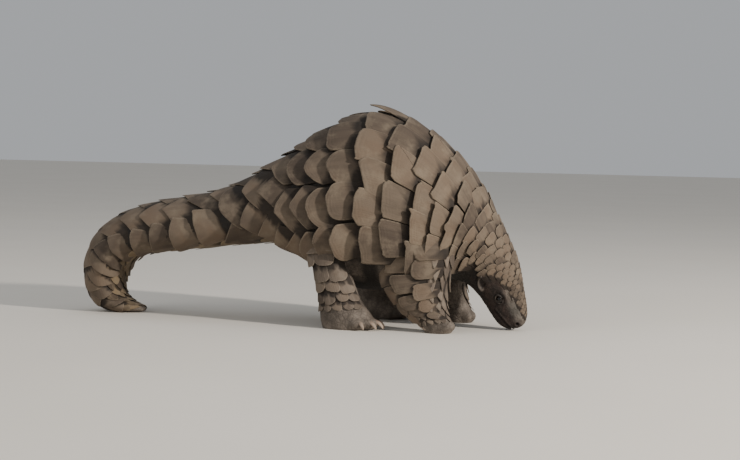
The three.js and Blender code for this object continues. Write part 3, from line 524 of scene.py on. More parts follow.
class Finish:
    """A material whose nodes are added one by one."""

    def __init__(self, name, **constants):
        self.material = bpy.data.materials.new(name)
        self.material.use_nodes = True
        self.tree = self.material.node_tree
        self.shader = self.tree.nodes["Principled BSDF"]
        for socket, value in constants.items():
            self.shader.inputs[socket.replace("_", " ")].default_value = value

    def node(self, kind, settings=None, sockets=None, output=0):
        made = self.tree.nodes.new(kind)
        for name, value in (settings or {}).items():
            setattr(made, name, value)
        for name, value in (sockets or {}).items():
            if isinstance(value, Value):
                self.tree.links.new(value.socket, made.inputs[name])
            else:
                made.inputs[name].default_value = value
        return Value(self, made.outputs[output])

    def blend(self, first, second, share):
        """Two colours mixed by a value. Colours are chart codes or values themselves."""
        first, second = (paint(c) if isinstance(c, int) else c for c in (first, second))
        sockets = {0: share, 6: first, 7: second}
        return self.node("ShaderNodeMix", {"data_type": "RGBA"}, sockets, 2)

    def noise(self, where, scale, detail=3.0, roughness=0.55):
        sockets = {"Vector": where, "Scale": scale, "Detail": detail, "Roughness": roughness}
        return self.node("ShaderNodeTexNoise", None, sockets, "Fac")

    def cells(self, where, scale):
        """How far a point lies from the edge of its cell in a random pattern."""
        sockets = {"Vector": where, "Scale": scale}
        return self.node("ShaderNodeTexVoronoi", {"feature": "DISTANCE_TO_EDGE"}, sockets, "Distance")

    def place(self):
        """Where a point lies on the object."""
        return self.node("ShaderNodeTexCoord", None, None, "Object")

    def mark(self, name):
        """The three numbers that a piece's points carry under a name."""
        colour = self.node("ShaderNodeAttribute", {"attribute_name": name}, None, "Color")
        return [self.node("ShaderNodeSeparateColor", None, {0: colour}, i) for i in range(3)]

    def vector(self, x, y, z):
        return self.node("ShaderNodeCombineXYZ", None, {0: x, 1: y, 2: z})

    def bump(self, height, distance, strength):
        sockets = {"Height": height, "Distance": distance, "Strength": strength}
        return self.node("ShaderNodeBump", None, sockets)

    def feed(self, socket, value):
        self.tree.links.new(value.socket, self.shader.inputs[socket])


def scute_finish(name, light, dark, warm, rim):
    """Dusty horn: each scute its own tone, fine ridges from root to tip, growth lines along the
    free edge, worn paler rims and dust in patches, with painted shade on each scute's back and a painted
    shadow just before the free edges of the next scutes."""
    finish = Finish(name, Specular_IOR_Level=0.32)
    tone, spread, back = finish.mark("scute")
    local = finish.node("ShaderNodeUVMap", {"uv_map": "Grain"})
    across, along = (finish.node("ShaderNodeSeparateXYZ", None, {0: local}, i) for i in range(2))
    place = finish.place()
    shift = tone * 37.0
    ridges = finish.noise(finish.vector(across * 15.0 + shift, along * 0.9, shift), 1.0, 3.0, 0.6)
    broad = finish.noise(finish.vector(across * 4.0 + shift, along * 1.2, shift), 1.0, 2.0)
    waver = finish.noise(finish.vector(across * 2.0, along * 2.0, shift), 1.0, 2.0)
    lines = (spread * 52.0 + waver * 16.0).sine()
    dust = finish.noise(place, 38.0, 4.0, 0.6)
    grit = finish.noise(place, 420.0, 3.0, 0.6)
    scratch = finish.noise(finish.vector(across * 3.0 + shift, along * 26.0, shift), 1.0, 2.0)
    streaks = lines.slope(0.4, 1.0) * spread.slope(0.5, 0.95) * broad.slope(0.4, 0.65)
    body = finish.blend(dark, light, (tone * 0.55 + broad * 0.6 + 0.02).slope(0.2, 0.85))
    body = finish.blend(body, warm, (waver * 1.2 + tone * 0.5).slope(0.75, 1.2) * 0.5)
    body = finish.blend(body, dark, ridges.slope(0.56, 0.78) * 0.32)
    body = finish.blend(body, dark, streaks * 0.14)
    dusty = finish.blend(body, rim, dust.slope(0.46, 0.72) * 0.5)
    worn = finish.blend(dusty, rim, spread.slope(0.9, 0.985) * grit.slope(0.3, 0.6) * 0.6)
    # painted shade: the back of each scute and the lower half of its rim are darkened
    under = finish.blend(worn, dark, back.slope(0.45, 0.75) * 0.75)
    # painted shadow: darkened just before the free edges of the next scutes, where their shadows fall
    gap = finish.mark("gap")[0]
    finish.feed("Base Color", finish.blend(under, SCUTE_GAP_SHADOW, gap * 0.85))
    finish.feed("Roughness", 0.62 + dust * 0.28 + grit * 0.08)
    relief = ridges * 0.55 + lines * 0.07 * spread.slope(0.5, 0.9) + grit * 0.14 + scratch * 0.14
    finish.feed("Normal", finish.bump(relief, 0.0011, 0.85))
    return finish.material


def skin_finish():
    """Bare skin: dark brown on the face, slate on the snout, pale below the eyes with a painted highlight
    on the lower lids, grey and rough on the legs, the belly darkened to near black by painted shade, with
    fine wrinkles."""
    finish = Finish("skin", Specular_IOR_Level=0.3)
    face, lid_and_highlight, snout = finish.mark("zones")
    place = finish.place()
    mottle = finish.noise(place, 60.0, 4.0, 0.6)
    fine = finish.noise(place, 330.0, 3.0, 0.6)
    grains = finish.cells(place, 260.0)
    pebbles = finish.cells(place, 150.0)
    belly = finish.mark("parts")[0]
    leg = finish.blend(*LEG_SKIN, mottle.slope(0.35, 0.68))
    creases = 1 - pebbles.slope(0.0, 0.12)
    leg = finish.blend(leg, LEG_CREASE, creases * 0.35)
    # painted shade: the bare belly darkened to near black
    leg = finish.blend(leg, BELLY_SHADE, belly * 0.92)
    dark = finish.blend(*FACE_SKIN, mottle.slope(0.4, 0.72))
    dark = finish.blend(dark, FACE_SPECK, fine.slope(0.6, 0.8) * 0.35)
    slate = finish.blend(*SNOUT_SKIN, mottle.slope(0.35, 0.7))
    colour = finish.blend(leg, dark, face)
    colour = finish.blend(colour, slate, snout)
    # pale lid skin with a painted highlight on the lower lid, and the pale ear rim
    colour = finish.blend(colour, LID_SKIN_AND_HIGHLIGHT, lid_and_highlight)
    finish.feed("Base Color", colour)
    finish.feed("Roughness", 0.55 + mottle * 0.25)
    relief = grains.slope(0.0, 0.12) * 0.3 + pebbles.slope(0.0, 0.16) * 0.35 * (1 - face) + fine * 0.6
    finish.feed("Normal", finish.bump(relief, 0.0008, 0.8))
    return finish.material


def eye_finish():
    """A dark wet eye with a brown iris round a black pupil."""
    finish = Finish("eye", Roughness=0.08, Specular_IOR_Level=0.3, Coat_Weight=0.1, Coat_Roughness=0.03)
    ring = finish.mark("iris")[0]
    streaks = finish.noise(finish.place(), 900.0, 2.0)
    iris = finish.blend(*IRIS, streaks.slope(0.4, 0.7))
    colour = finish.blend(PUPIL, iris, ring.slope(0.36, 0.44))
    finish.feed("Base Color", finish.blend(colour, IRIS_RIM, ring.slope(0.72, 0.85)))
    return finish.material


def claw_finish():
    """Pale pinkish horn, darker at the root, with fine lines along the claw."""
    finish = Finish("claw", Specular_IOR_Level=0.45)
    share, turn, _ = finish.mark("claw")
    place = finish.place()
    stain = finish.noise(place, 160.0, 3.0)
    lines = finish.noise(finish.vector(share * 2.0, turn * 18.0, 0.0), 1.0, 2.0)
    horn = finish.blend(*CLAW_HORN, share.slope(0.1, 0.7))
    horn = finish.blend(horn, CLAW_STAIN, stain.slope(0.5, 0.75) * 0.55)
    finish.feed("Base Color", horn)
    finish.feed("Roughness", 0.4 + stain * 0.3)
    finish.feed("Normal", finish.bump(lines, 0.0005, 0.6))
    return finish.material


FINISHES = {name: scute_finish(name.replace("_", " "), **paints) for name, paints in SCUTE_PAINTS.items()}
FINISHES |= {"skin": skin_finish(), "eye": eye_finish(), "claw": claw_finish()}


def make_piece(name, points, faces, finish, nodes):
    """An object from points of the animal's own frame, which stands for nodes of the frame."""
    mesh = bpy.data.meshes.new(name)
    mesh.from_pydata(to_model(points).tolist(), [], faces)
    mesh.validate()
    return dress(name, mesh, finish, nodes)


def dress(name, mesh, finish, nodes):
    """A mesh as a piece of the animal, smooth, in its finish."""
    mesh.polygons.foreach_set("use_smooth", [True] * len(mesh.polygons))
    mesh.materials.append(FINISHES[finish])
    piece = bpy.data.objects.new(name, mesh)
    bpy.context.scene.collection.objects.link(piece)
    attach(piece, "root")
    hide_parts(*nodes)
    return piece


def mark_points(mesh, name, numbers):
    """Three numbers for each point of a mesh, under a name that the finishes read."""
    attribute = mesh.attributes.new(name, "FLOAT_COLOR", "POINT")
    four = np.ones((len(mesh.vertices), 4), np.float32)
    four[:, :3] = numbers
    attribute.data.foreach_set("color", four.ravel())


def map_points(mesh, name, places):
    """A flat map of a mesh, from a place for each of its points."""
    corners = np.empty(len(mesh.loops), np.int32)
    mesh.loops.foreach_get("vertex_index", corners)
    layer = mesh.uv_layers.new(name=name)
    layer.data.foreach_set("uv", np.asarray(places, np.float32)[corners].ravel())


# Ways of joining points
def band_faces(rings, columns, first=0):
    """The faces between rings of points that each close on themselves."""
    here = np.arange(columns)
    ahead = (here + 1) % columns
    faces = []
    for low in range(first, first + (rings - 1) * columns, columns):
        high = low + columns
        faces += [[low + a, low + b, high + b, high + a] for a, b in zip(here, ahead)]
    return faces


def fan_faces(middle, start, columns, turned=False):
    """The faces from one point to a ring of points."""
    here = start + np.arange(columns)
    ahead = np.roll(here, -1)
    return [[middle, b, a] if turned else [middle, a, b] for a, b in zip(here, ahead)]


def joined(parts):
    """Several shapes as one: all their points and faces."""
    points, faces = [], []
    for part_points, part_faces in parts:
        start = sum(len(p) for p in points)
        points.append(part_points)
        faces += [[int(start + corner) for corner in face] for face in part_faces]
    return np.vstack(points), faces


# Scutes
def growth_at(table, distances):
    """The entries of a growth table at distances, each between its neighbours'."""
    columns = np.array(table, float).T
    return {f: np.interp(distances, columns[0], column) for f, column in zip(GROWTH_FIELDS, columns)}


def grow(hull, table, keep=None):
    """The scutes of a growth table, one number of each for every scute: rings down the hull, every
    other one set half a place aside."""
    alongs = [table[0][0] - table[0][1]]
    while alongs[-1] <= table[-1][0]:
        alongs.append(alongs[-1] + growth_at(table, alongs[-1])["pitch"] / 2)
    rings = growth_at(table, np.array(alongs))
    rings["at"] = np.array(alongs)
    places = np.arange(-MOST_PLACES, MOST_PLACES + 1)
    ring, place = (grid.ravel() for grid in np.meshgrid(np.arange(2, len(alongs) - 1), places))
    scutes = {field: numbers[ring] for field, numbers in rings.items()}
    scutes["ring"], scutes["place"] = ring.astype(float), place.astype(float)
    scutes["cell"] = place / 2 * scutes["across"]
    beyond = (np.abs(scutes["cell"]) - scutes.get("full", FULL_WIDTH)) / NARROWED["over"]
    part = np.clip(beyond, 0, 1)
    drawn_in = NARROWED["over"] * (part**3 - part**4 / 2 + np.maximum(beyond - 1, 0))
    middle = scutes["cell"] - np.sign(place) * (1 - NARROWED["width"]) * drawn_in
    inside = (middle >= scutes["low"]) & (middle <= scutes["high"]) & ((ring + place) % 2 == 0)
    scutes["long"] = scutes["pitch"]
    scutes["broad"] = scutes["across"] * mix(1, NARROWED["width"], smooth_step(beyond, 0, 1))
    scutes["along"] = scutes["at"] + (draw(ring, place, 1) - 0.5) * scutes["pitch"] * UNEVEN
    scutes["around"] = middle + (draw(ring, place, 2) - 0.5) * scutes["broad"] * UNEVEN
    for field in ("turn", "slant", "even", "lift"):
        scutes[field] = np.zeros(len(ring))
    scutes = pick(scutes, inside)
    if keep is not None:
        on_skin = np.zeros(len(scutes["ring"]))
        scutes = pick(scutes, keep(hull.over(scutes["along"], scutes["around"], on_skin)))
    return scutes


def pick(scutes, chosen):
    return {field: numbers[chosen] for field, numbers in scutes.items()}


def varied(scutes, what):
    """A column of numbers, one drawn for each scute."""
    low, high, salt = VARIED[what]
    return mix(low, high, draw(scutes["ring"], scutes["place"], salt))[:, None]


def scute_sizes(scutes):
    """Columns of half the width, the whole length, the length of the narrowing end and its
    bluntness."""
    half = scutes["broad"][:, None] * scutes["wide"][:, None] / 2
    pitch, cap = scutes["long"][:, None], scutes["cap"][:, None]
    pointed = np.maximum(cap - POINTED["from"], 0)
    long = pitch * (WHOLE_LENGTH + cap * TIP_LENGTH + pointed * POINTED["longer"])
    blunt = scutes["blunt"][:, None] * varied(scutes, "blunt")
    return half, long, pitch * cap * varied(scutes, "cap"), blunt


def scute_rim(sizes, detail):
    """The outline of a scute, from its free end over one side, its root and its other side: how
    far across and how far behind its tip."""
    half, long, cap, blunt = sizes
    turn = np.linspace(0, math.pi, detail["free"])[None, :]
    power = 2 / blunt
    down = np.arange(1, detail["side"] + 1) / detail["side"]
    root = np.linspace(-1, 1, detail["root"] + 2)[1:-1] * ROOT_WIDTH
    sides = np.concatenate([mix(-1, -ROOT_WIDTH, down), root, mix(1, ROOT_WIDTH, down[::-1])])
    free_end = np.sign(np.cos(turn)) * np.abs(np.cos(turn)) ** power
    across = np.hstack([free_end, np.repeat(sides[None, :], len(blunt), 0)])
    behind = np.hstack([1 - np.sin(turn) ** power, np.ones((len(blunt), len(sides)))])
    rooted = np.concatenate([np.zeros(detail["free"]), down, np.ones(detail["root"]), down[::-1]])
    return across * half, mix(behind * cap, long, rooted[None, :])


def waved(scutes, long, rim_x, rim_y):
    """The outlines with the waves of their rims, each free end slanted its own way."""
    ring, place = scutes["ring"], scutes["place"]
    turn = np.linspace(0, 2 * math.pi, rim_x.shape[1], endpoint=False)[None, :]
    ripple = 0
    for waves in RIPPLES:
        start = TURN * draw(ring, place, 10 + waves)[:, None]
        ripple = ripple + np.sin(waves * turn + start) * RIPPLE["height"] / waves ** RIPPLE["fade"]
    rim_x = rim_x * (1 + ripple * RIPPLE["across"])
    slant = varied(scutes, "slant") + scutes["slant"][:, None]
    moved = ripple * scutes["long"][:, None] * RIPPLE["along"] + slant * rim_x
    return rim_x, rim_y + moved * (1 - np.clip(rim_y / long, 0, 1))


def scute_points(middle, rim_x, rim_y, rings):
    """All points of a scute, from the middle of its face to the middle of its back: across, behind
    the tip, how far down through its thickness and how far out."""
    total, count = rim_x.shape
    out, down = (np.array(column)[None, :, None] for column in zip(*rings))
    flat = (total, len(rings) * count)
    x = (out * rim_x[:, None, :]).reshape(flat)
    y = (middle[:, None] + out * (rim_y[:, None, :] - middle[:, None])).reshape(flat)
    deep, spread = (np.broadcast_to(part, (total, len(rings), count)).reshape(flat) for part in (down, out))
    none, full = np.zeros((total, 1)), np.ones((total, 1))
    ends = ((none, none), (middle, middle), (none, full), (none, none))
    return [np.hstack([a, part, b]) for (a, b), part in zip(ends, (x, y, deep, spread))]


def scute_heights(scutes, half, x, share, deep):
    """How high the points of a scute lie over the skin."""
    rise = scutes["rise"][:, None] * varied(scutes, "rise") + scutes["lift"][:, None]
    thick = scutes["rise"][:, None] * THICKNESS * varied(scutes, "thickness")
    thick *= mix(1, TAIL_THICKNESS, smooth_step(scutes["cap"], *TAIL_POINTS))[:, None]
    height = rise * ((1 + ROOT_DEPTH) * np.clip(1 - share, 0, 1) ** FLARE - ROOT_DEPTH)
    height -= varied(scutes, "curl") * rise * np.sin(math.pi * np.clip(share * 1.5, 0, 1))
    height += DOME * half * 2 * (1 - (x / half) ** 2) * (1 - 0.5 * share) - DOME * half
    height += varied(scutes, "twist") * (x / half) * rise * (1 - share)
    return height - deep * thick


def gap_marks(scutes, sizes, x, y):
    """Painted shadow on a scute, just before the free edges of the next ones, where their shadows fall."""
    half, _, cap, blunt = sizes
    pitch = scutes["long"][:, None]
    off_middle = np.clip(1 - np.abs(x / half), 0, 1)
    next_edge = pitch * NEXT_EDGE + cap * (1 - (1 - off_middle**blunt) ** (1 / blunt))
    next_edge = mix(next_edge, pitch, scutes["even"][:, None])
    return smooth_step(y - next_edge, -GAP_SHADE * pitch, -GAP_DARK * GAP_SHADE * pitch)


def scute_shape(scutes, detail):
    """Where all points of the scutes lie: distances along and around, heights and their places on
    their own scute."""
    sizes = scute_sizes(scutes)
    half, long = sizes[:2]
    middle = scutes["long"][:, None] * 0.5
    rim_x, rim_y = waved(scutes, long, *scute_rim(sizes, detail))
    x, y, deep, spread = scute_points(middle, rim_x, rim_y, detail["rings"])
    share = y / long
    height = scute_heights(scutes, half, x, share, deep)
    lean = varied(scutes, "lean")
    aside, back = x + lean * (long - y), y + lean * x * 0.4
    cos, sin = np.cos(scutes["turn"])[:, None], np.sin(scutes["turn"])[:, None]
    along = scutes["along"][:, None] - back * cos - aside * sin
    around = scutes["around"][:, None] + aside * cos - back * sin
    # the painted shadow before the next scutes' free edges
    gap = gap_marks(scutes, sizes, x, y)
    return along, around, height, {"x": x / half, "y": share, "spread": spread, "deep": deep, "gap": gap}


def scute_faces(total, rings, count):
    """The faces of all scutes: fans at both middles and bands between their rings of points."""
    size = rings * count + 2
    fans = fan_faces(0, 1, count, True) + fan_faces(size - 1, size - 1 - count, count)
    starts = np.arange(total)[:, None, None] * size
    tris = (np.array(fans)[None] + starts).reshape(-1, 3)
    quads = (np.array(band_faces(rings, count, 1))[None] + starts).reshape(-1, 4)
    return tris.tolist() + quads.tolist()


def bake_places(scutes, local):
    """A patch for each scute at its place on the skin laid flat: its face in the wider part of its
    own cell of the pattern, its rim and back in the narrow rest."""
    wide = np.abs(scutes["cell"]).max() + scutes["across"].max()
    first = scutes["at"].min() - scutes["pitch"].max()
    long = scutes["at"].max() - first
    behind = local["deep"] > 0.5
    across = np.clip(local["x"] / MAP_WIDEST / 2 + 0.5, 0, 1)
    share = np.where(behind, mix(*MAP_BACKS, across), mix(*MAP_FACES, across))
    flat_u = 0.5 + (scutes["cell"][:, None] + share * scutes["across"][:, None]) / (2.1 * wide)
    depth = (0.5 - np.clip(local["y"], 0, 1)) * scutes["pitch"][:, None] * MAP_LENGTH
    flat_v = (scutes["at"][:, None] - first + depth) / (1.05 * long)
    return np.stack([flat_u, np.clip(flat_v, 0.001, 0.999)], -1).reshape(-1, 2)


def scute_piece(name, hull, scutes, finish, nodes, detail):
    """Scutes as one piece."""
    along, around, height, local = scute_shape(scutes, detail)
    narrowing = hull.girth(along) / hull.girth(scutes["along"])[:, None]
    around = around * np.clip(narrowing, 0.4, 1.6)
    points = hull.over(along, around, height)
    count = detail["free"] + 2 * detail["side"] + detail["root"]
    faces = scute_faces(len(points), len(detail["rings"]), count)
    if hull.side < 0:
        faces = [face[::-1] for face in faces]
    piece = make_piece(name, points.reshape(-1, 3), faces, finish, nodes)
    tone = np.repeat(draw(scutes["ring"], scutes["place"], 9)[:, None], along.shape[1], 1)
    marks = np.stack([tone, local["spread"], local["deep"]], -1).reshape(-1, 3)
    mark_points(piece.data, "scute", marks)
    # the painted shadow, for the finish to read
    mark_points(piece.data, "gap", np.repeat(local["gap"].reshape(-1, 1), 3, 1))
    grain = np.stack([local["x"] / 2, local["y"]], -1).reshape(-1, 2)
    map_points(piece.data, "OFBake", bake_places(scutes, local))
    map_points(piece.data, "Grain", grain)
    return piece


def clear_of_legs(tips):
    """Which scutes of the trunk don't lie where a leg comes out under them."""
    x, _, z = tips.T
    covered = [(x > p["from"]) & (x < p["to"]) & (z < p["below"]) for p in LEG_PLACES]
    return ~np.any(covered, axis=0)


def back_scutes():
    """The scutes of the trunk: lower on the middle line, broad and blunt at the tail's margin."""
    back = grow(trunk, BACK_GROWTH, clear_of_legs)
    aside = np.abs(back["around"])
    start, end = (smooth_step(back["along"], *MIDDLE_BLENDS[part]) for part in ("back", "tail"))
    lowest = mix(MIDDLE_RISE["shoulders"], MIDDLE_RISE["back"], start)
    lowest = mix(lowest, MIDDLE_RISE["tail"], end)
    back["rise"] *= mix(lowest, 1, smooth_step(aside, *MIDDLE_BLENDS["aside"]))
    at_margin = np.ones(len(aside))
    for place, ends in ((back["along"], MARGIN_ALONG), (aside / back["across"], MARGIN_ASIDE)):
        at_margin *= smooth_step(place, *ends[0]) * (1 - smooth_step(place, *ends[1]))
    for field, number in TAIL_MARGIN.items():
        back[field] = mix(back[field], number, at_margin)
    back["around"] += np.sign(back["around"]) * MARGIN_MOVE["down"] * at_margin
    back["slant"] *= -np.sign(back["around"])
    back["even"] = at_margin
    back["along"] += MARGIN_MOVE["back"] * at_margin
    stray = np.argmin(np.hypot(back["along"] - STRAY["along"], back["around"] - STRAY["around"]))
    for field, number in STRAY.items():
        back[field][stray] = number
    return back


def add_scutes():
    """All scutes of the animal."""
    back = back_scutes()
    for name, start, end, nodes, detail in BACK_PIECES:
        chosen = pick(back, (back["along"] >= start) & (back["along"] < end))
        scute_piece(name, trunk, chosen, "scutes", nodes, detail)
    below = grow(under_tail, UNDER_TAIL_GROWTH)
    scute_piece("scutes_under_tail", under_tail, below, "under_scutes", TAIL_NODES, FINE)
    for name, hull in legs.items():
        nodes = [name, name.replace("leg", "foot")]
        table = FORE_LEG_GROWTH if name.startswith("fore") else HIND_LEG_GROWTH
        scute_piece(f"scutes_{name}", hull, grow(hull, table), "leg_scutes", nodes, COARSE)
        if name.startswith("fore"):
            arm = grow(hull, ARM_GROWTH)
            arm["long"], arm["broad"] = arm["across"], arm["pitch"]
            arm["turn"] += math.pi / 2
            scute_piece(f"scutes_arm_{name}", hull, arm, "scutes", nodes, FINE)


# Skin
def tube(hull, columns):
    """The flesh of a hull as a closed grid."""
    distances = np.linspace(0, hull.total, int(hull.total / FLESH_STEP))
    angles = np.linspace(0, 2 * math.pi, columns, endpoint=False)
    points = hull.ring_points(distances, angles) * np.array([1, hull.side, 1])
    middles = hull.sections(distances)[0][[0, -1]] * np.array([1, hull.side, 1])
    rings = len(distances)
    corners = rings * columns
    faces = band_faces(rings, columns)
    faces += fan_faces(corners, 0, columns, True)
    faces += fan_faces(corners + 1, corners - columns, columns)
    if hull.side < 0:
        faces = [face[::-1] for face in faces]
    return np.vstack([points.reshape(-1, 3), middles]), faces


def lump(centre, radii, steps=(24, 16)):
    """An oval lump."""
    ball = bmesh.new()
    bmesh.ops.create_uvsphere(ball, u_segments=steps[0], v_segments=steps[1], radius=1)
    points = np.array([v.co for v in ball.verts]) * radii + centre
    faces = [[v.index for v in face.verts] for face in ball.faces]
    ball.free()
    return points, faces


def toe_lumps():
    """The toes over the nails and the knuckles over the folded claws."""
    made = []
    for name, side in SIDES.items():
        hind, fore = STRIDES["hind"][name], STRIDES["fore"][name]
        for nail in FOOT_NAILS:
            centre = (nail["x"] + hind + TOE["x"], side * (FOOT_MIDDLE + nail["y"]), TOE_HEIGHT)
            made.append(lump(centre, (TOE["long"], nail["radius"] + TOE["wider"], TOE["high"])))
        for claw in HAND_CLAWS:
            centre = (claw["root"] + fore + KNUCKLE["x"], side * (HAND_MIDDLE + claw["y"]), TOE_HEIGHT)
            radii = (KNUCKLE["long"], claw["radius"] + KNUCKLE["wider"], KNUCKLE["high"])
            made.append(lump(centre, radii))
    return made


def head_places(points):
    """Distances from the eye towards the nose and towards the top of the head."""
    flat = points[:, [0, 2]] - np.array([EYE["x"], EYE["z"]])
    return flat @ HEAD_AXIS, flat @ HEAD_UP


def eye_rings(ahead, upwards):
    """How far from the middle of the eye, with the edge of its almond opening at 1."""
    return np.sqrt((ahead / 4.5) ** 2 + (upwards / mix(3.4, 3.0, smooth_step(upwards, -1, 1))) ** 2)


def mouth_places(points):
    """The share of the way along the mouth, and the distance above its line."""
    corner, front = np.array(MOUTH["corner"]), np.array(MOUTH["front"])
    line = front - corner
    flat = points[:, [0, 2]] - corner
    share = flat @ line / (line @ line)
    above = (flat[:, 1] * line[0] - flat[:, 0] * line[1]) / np.linalg.norm(line)
    return share, above


def ear_places(points):
    """Places on the ear, behind and above its middle in its half sizes, and how far from it."""
    behind = (points[:, 0] - EAR["x"]) / (EAR["width"] / 2)
    up_ear = (points[:, 2] - EAR["z"]) / (EAR["height"] / 2)
    return behind, up_ear, np.hypot(behind * 0.9, up_ear)


def wander_at(points):
    """A smooth random number from about -1 to 1 at each point."""
    return np.array([noise.noise(Vector(p)) for p in points])


def face_relief(points):
    """How far the skin of the head stands out: lids and the folds round them, lips, nostrils, the
    ears and fine wrinkles."""
    ahead, upwards = head_places(points)
    on_side = smooth_step(np.abs(points[:, 1]), 4, 8)
    rings = eye_rings(ahead, upwards)
    relief = -6.0 * (1 - smooth_step(rings, 0.72, 1.02)) * on_side
    relief += (1.6 * swell(rings, 1.24, 0.22) - 0.5 * swell(rings, 1.75, 0.22)) * on_side
    relief += 0.9 * swell(upwards + 0.03 * ahead**2, 8.5, 2.2) * swell(ahead, -1, 9) * on_side
    relief -= 0.6 * swell(upwards - 0.04 * ahead**2, -6.5, 1.2) * swell(ahead, 0, 7) * on_side
    share, above = mouth_places(points)
    on_mouth = smooth_step(share, -0.08, 0.05) * (1 - smooth_step(share, 1.05, 1.25))
    lips = 0.9 * swell(above, 2.1, 1.2) + swell(above, -2.1, 1.3)
    relief += on_mouth * (-1.7 * swell(above, 0, 0.75) + lips)
    away = np.hypot(points[:, 0] - NOSTRIL["x"], points[:, 2] - NOSTRIL["z"]) / NOSTRIL["radius"]
    relief += on_side * (-2.6 * (1 - smooth_step(away, 0.5, 1.1)) + 0.7 * swell(away, 1.5, 0.4))
    behind, up_ear, shell = ear_places(points)
    rim = swell(shell, 0.92, 0.2) * smooth_step(-behind + 0.5, 0, 0.6)
    cup = swell(np.hypot(behind - 0.25, up_ear * 0.9), 0, 0.5)
    relief += smooth_step(np.abs(points[:, 1]), 12, 16) * (EAR["stand_out"] * rim - 2.4 * cup)
    creases = wander_at(points * 0.34)
    folds = wander_at(points * 0.13 + 40)
    return relief + smooth_step(rings, 0.9, 1.5) * (0.32 * creases + 0.5 * folds)


def face_zones(points):
    """Marks of the naked face, the pale lower lids with their painted highlight and the pale ear rim, and
    the snout, from 0 to 1.
    """
    ahead, upwards = head_places(points)
    wander = wander_at(points * 0.12)
    head = smooth_step(ahead, -52, -30)
    side_line = 7.5 + 3 * wander - np.minimum(ahead, 0) * 0.12
    face = head * (1 - smooth_step(upwards, side_line, side_line + 7))
    rings = eye_rings(ahead, upwards)
    # pale lid skin with a painted highlight, only below the eye
    lid_and_highlight = swell(rings, 1.22, 0.16) * smooth_step(np.abs(points[:, 1]), 4, 8) * smooth_step(upwards, 1, -2)
    behind, _, shell = ear_places(points)
    rim = swell(shell, 0.95, 0.22) * smooth_step(-behind + 0.5, 0, 0.6)
    pale = np.clip(0.6 * lid_and_highlight + 0.5 * rim, 0, 1)
    snout = smooth_step(ahead, 2, 16) * smooth_step(upwards + 3 * wander, 2, 9)
    tip = smooth_step(ahead, 31, 38)
    return np.stack([face, pale * head, snout * (1 - tip) * 0.9], -1)


def belly_shade_marks(points):
    """Where the belly's dark bare skin is darkened further to near black by painted shade, from 0 to 1."""
    x, y, z = points.T
    by_hind_leg = smooth_step(x, -92, -84) * (1 - smooth_step(x, 2, 14))
    on_leg = smooth_step(np.abs(y), 44, 56) * np.maximum(smooth_step(x, 24, 40), by_hind_leg)
    low_leg = on_leg * (1 - smooth_step(z, 74, 92))
    return smooth_step(z, 26, 44) * (1 - low_leg) * (1 - smooth_step(x, 150, 165))


def on_head(place, limit):
    """Whether a place in metres lies on the head, ahead of a limit counted from the eye."""
    x, z = place[0] / MILLIMETRE - EYE["x"], place[2] / MILLIMETRE - EYE["z"]
    return x * HEAD_AXIS[0] + z * HEAD_AXIS[1] > limit and x > HEAD_BEHIND


def drawn_over(parts):
    """One even skin over shapes that cross one another, as a mesh in metres."""
    points, faces = joined(parts)
    rough = bpy.data.meshes.new("rough skin")
    rough.from_pydata((points * MILLIMETRE).tolist(), [], faces)
    carrier = bpy.data.objects.new("rough skin", rough)
    bpy.context.scene.collection.objects.link(carrier)
    remesh = carrier.modifiers.new("one skin", "REMESH")
    remesh.mode = "VOXEL"
    remesh.voxel_size = SKIN_GRAIN * MILLIMETRE
    ease = carrier.modifiers.new("ease", "SMOOTH")
    ease.iterations = 5
    ease.factor = 0.5
    graph = bpy.context.evaluated_depsgraph_get()
    mesh = bpy.data.meshes.new_from_object(carrier.evaluated_get(graph))
    bpy.data.objects.remove(carrier)
    return mesh


def refine_head(finer):
    """A finer and smoother mesh on the head."""
    for limit in FINER_FROM:
        chosen = [e for e in finer.edges if all(on_head(v.co, limit) for v in e.verts)]
        bmesh.ops.subdivide_edges(finer, edges=chosen, cuts=1, use_grid_fill=True)
    crowded = [face for face in finer.faces if len(face.verts) > 4]
    bmesh.ops.triangulate(finer, faces=crowded)
    all_ways = {"use_axis_x": True, "use_axis_y": True, "use_axis_z": True}
    for _ in range(3):
        chosen = [v for v in finer.verts if on_head(v.co, EASED_FROM)]
        bmesh.ops.smooth_vert(finer, verts=chosen, factor=0.5, **all_ways)
    finer.normal_update()


def add_skin():
    """One skin over trunk, legs, toes and ears."""
    parts = [tube(trunk, FLESH_COLUMNS["trunk"])]
    parts += [tube(hull, FLESH_COLUMNS["leg"]) for hull in legs.values()]
    mesh = drawn_over(parts + toe_lumps())
    finer = bmesh.new()
    finer.from_mesh(mesh)
    refine_head(finer)
    points = np.array([v.co for v in finer.verts]) / MILLIMETRE
    normals = np.array([v.normal for v in finer.verts])
    head = np.array([on_head(v.co, RELIEF_FROM) for v in finer.verts])
    points[head] += normals[head] * face_relief(points[head])[:, None]
    finer.to_mesh(mesh)
    finer.free()
    mesh.vertices.foreach_set("co", to_model(points).astype(np.float32).ravel())
    mesh.update()
    mesh.name = "skin"
    flesh = [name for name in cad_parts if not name.startswith("eye_")]
    piece = dress("skin", mesh, "skin", flesh)
    zones = np.zeros((len(points), 3))
    zones[head] = face_zones(points[head])
    mark_points(piece.data, "zones", zones)
    # where the belly is darkened by painted shade
    mark_points(piece.data, "parts", belly_shade_marks(points)[:, None])


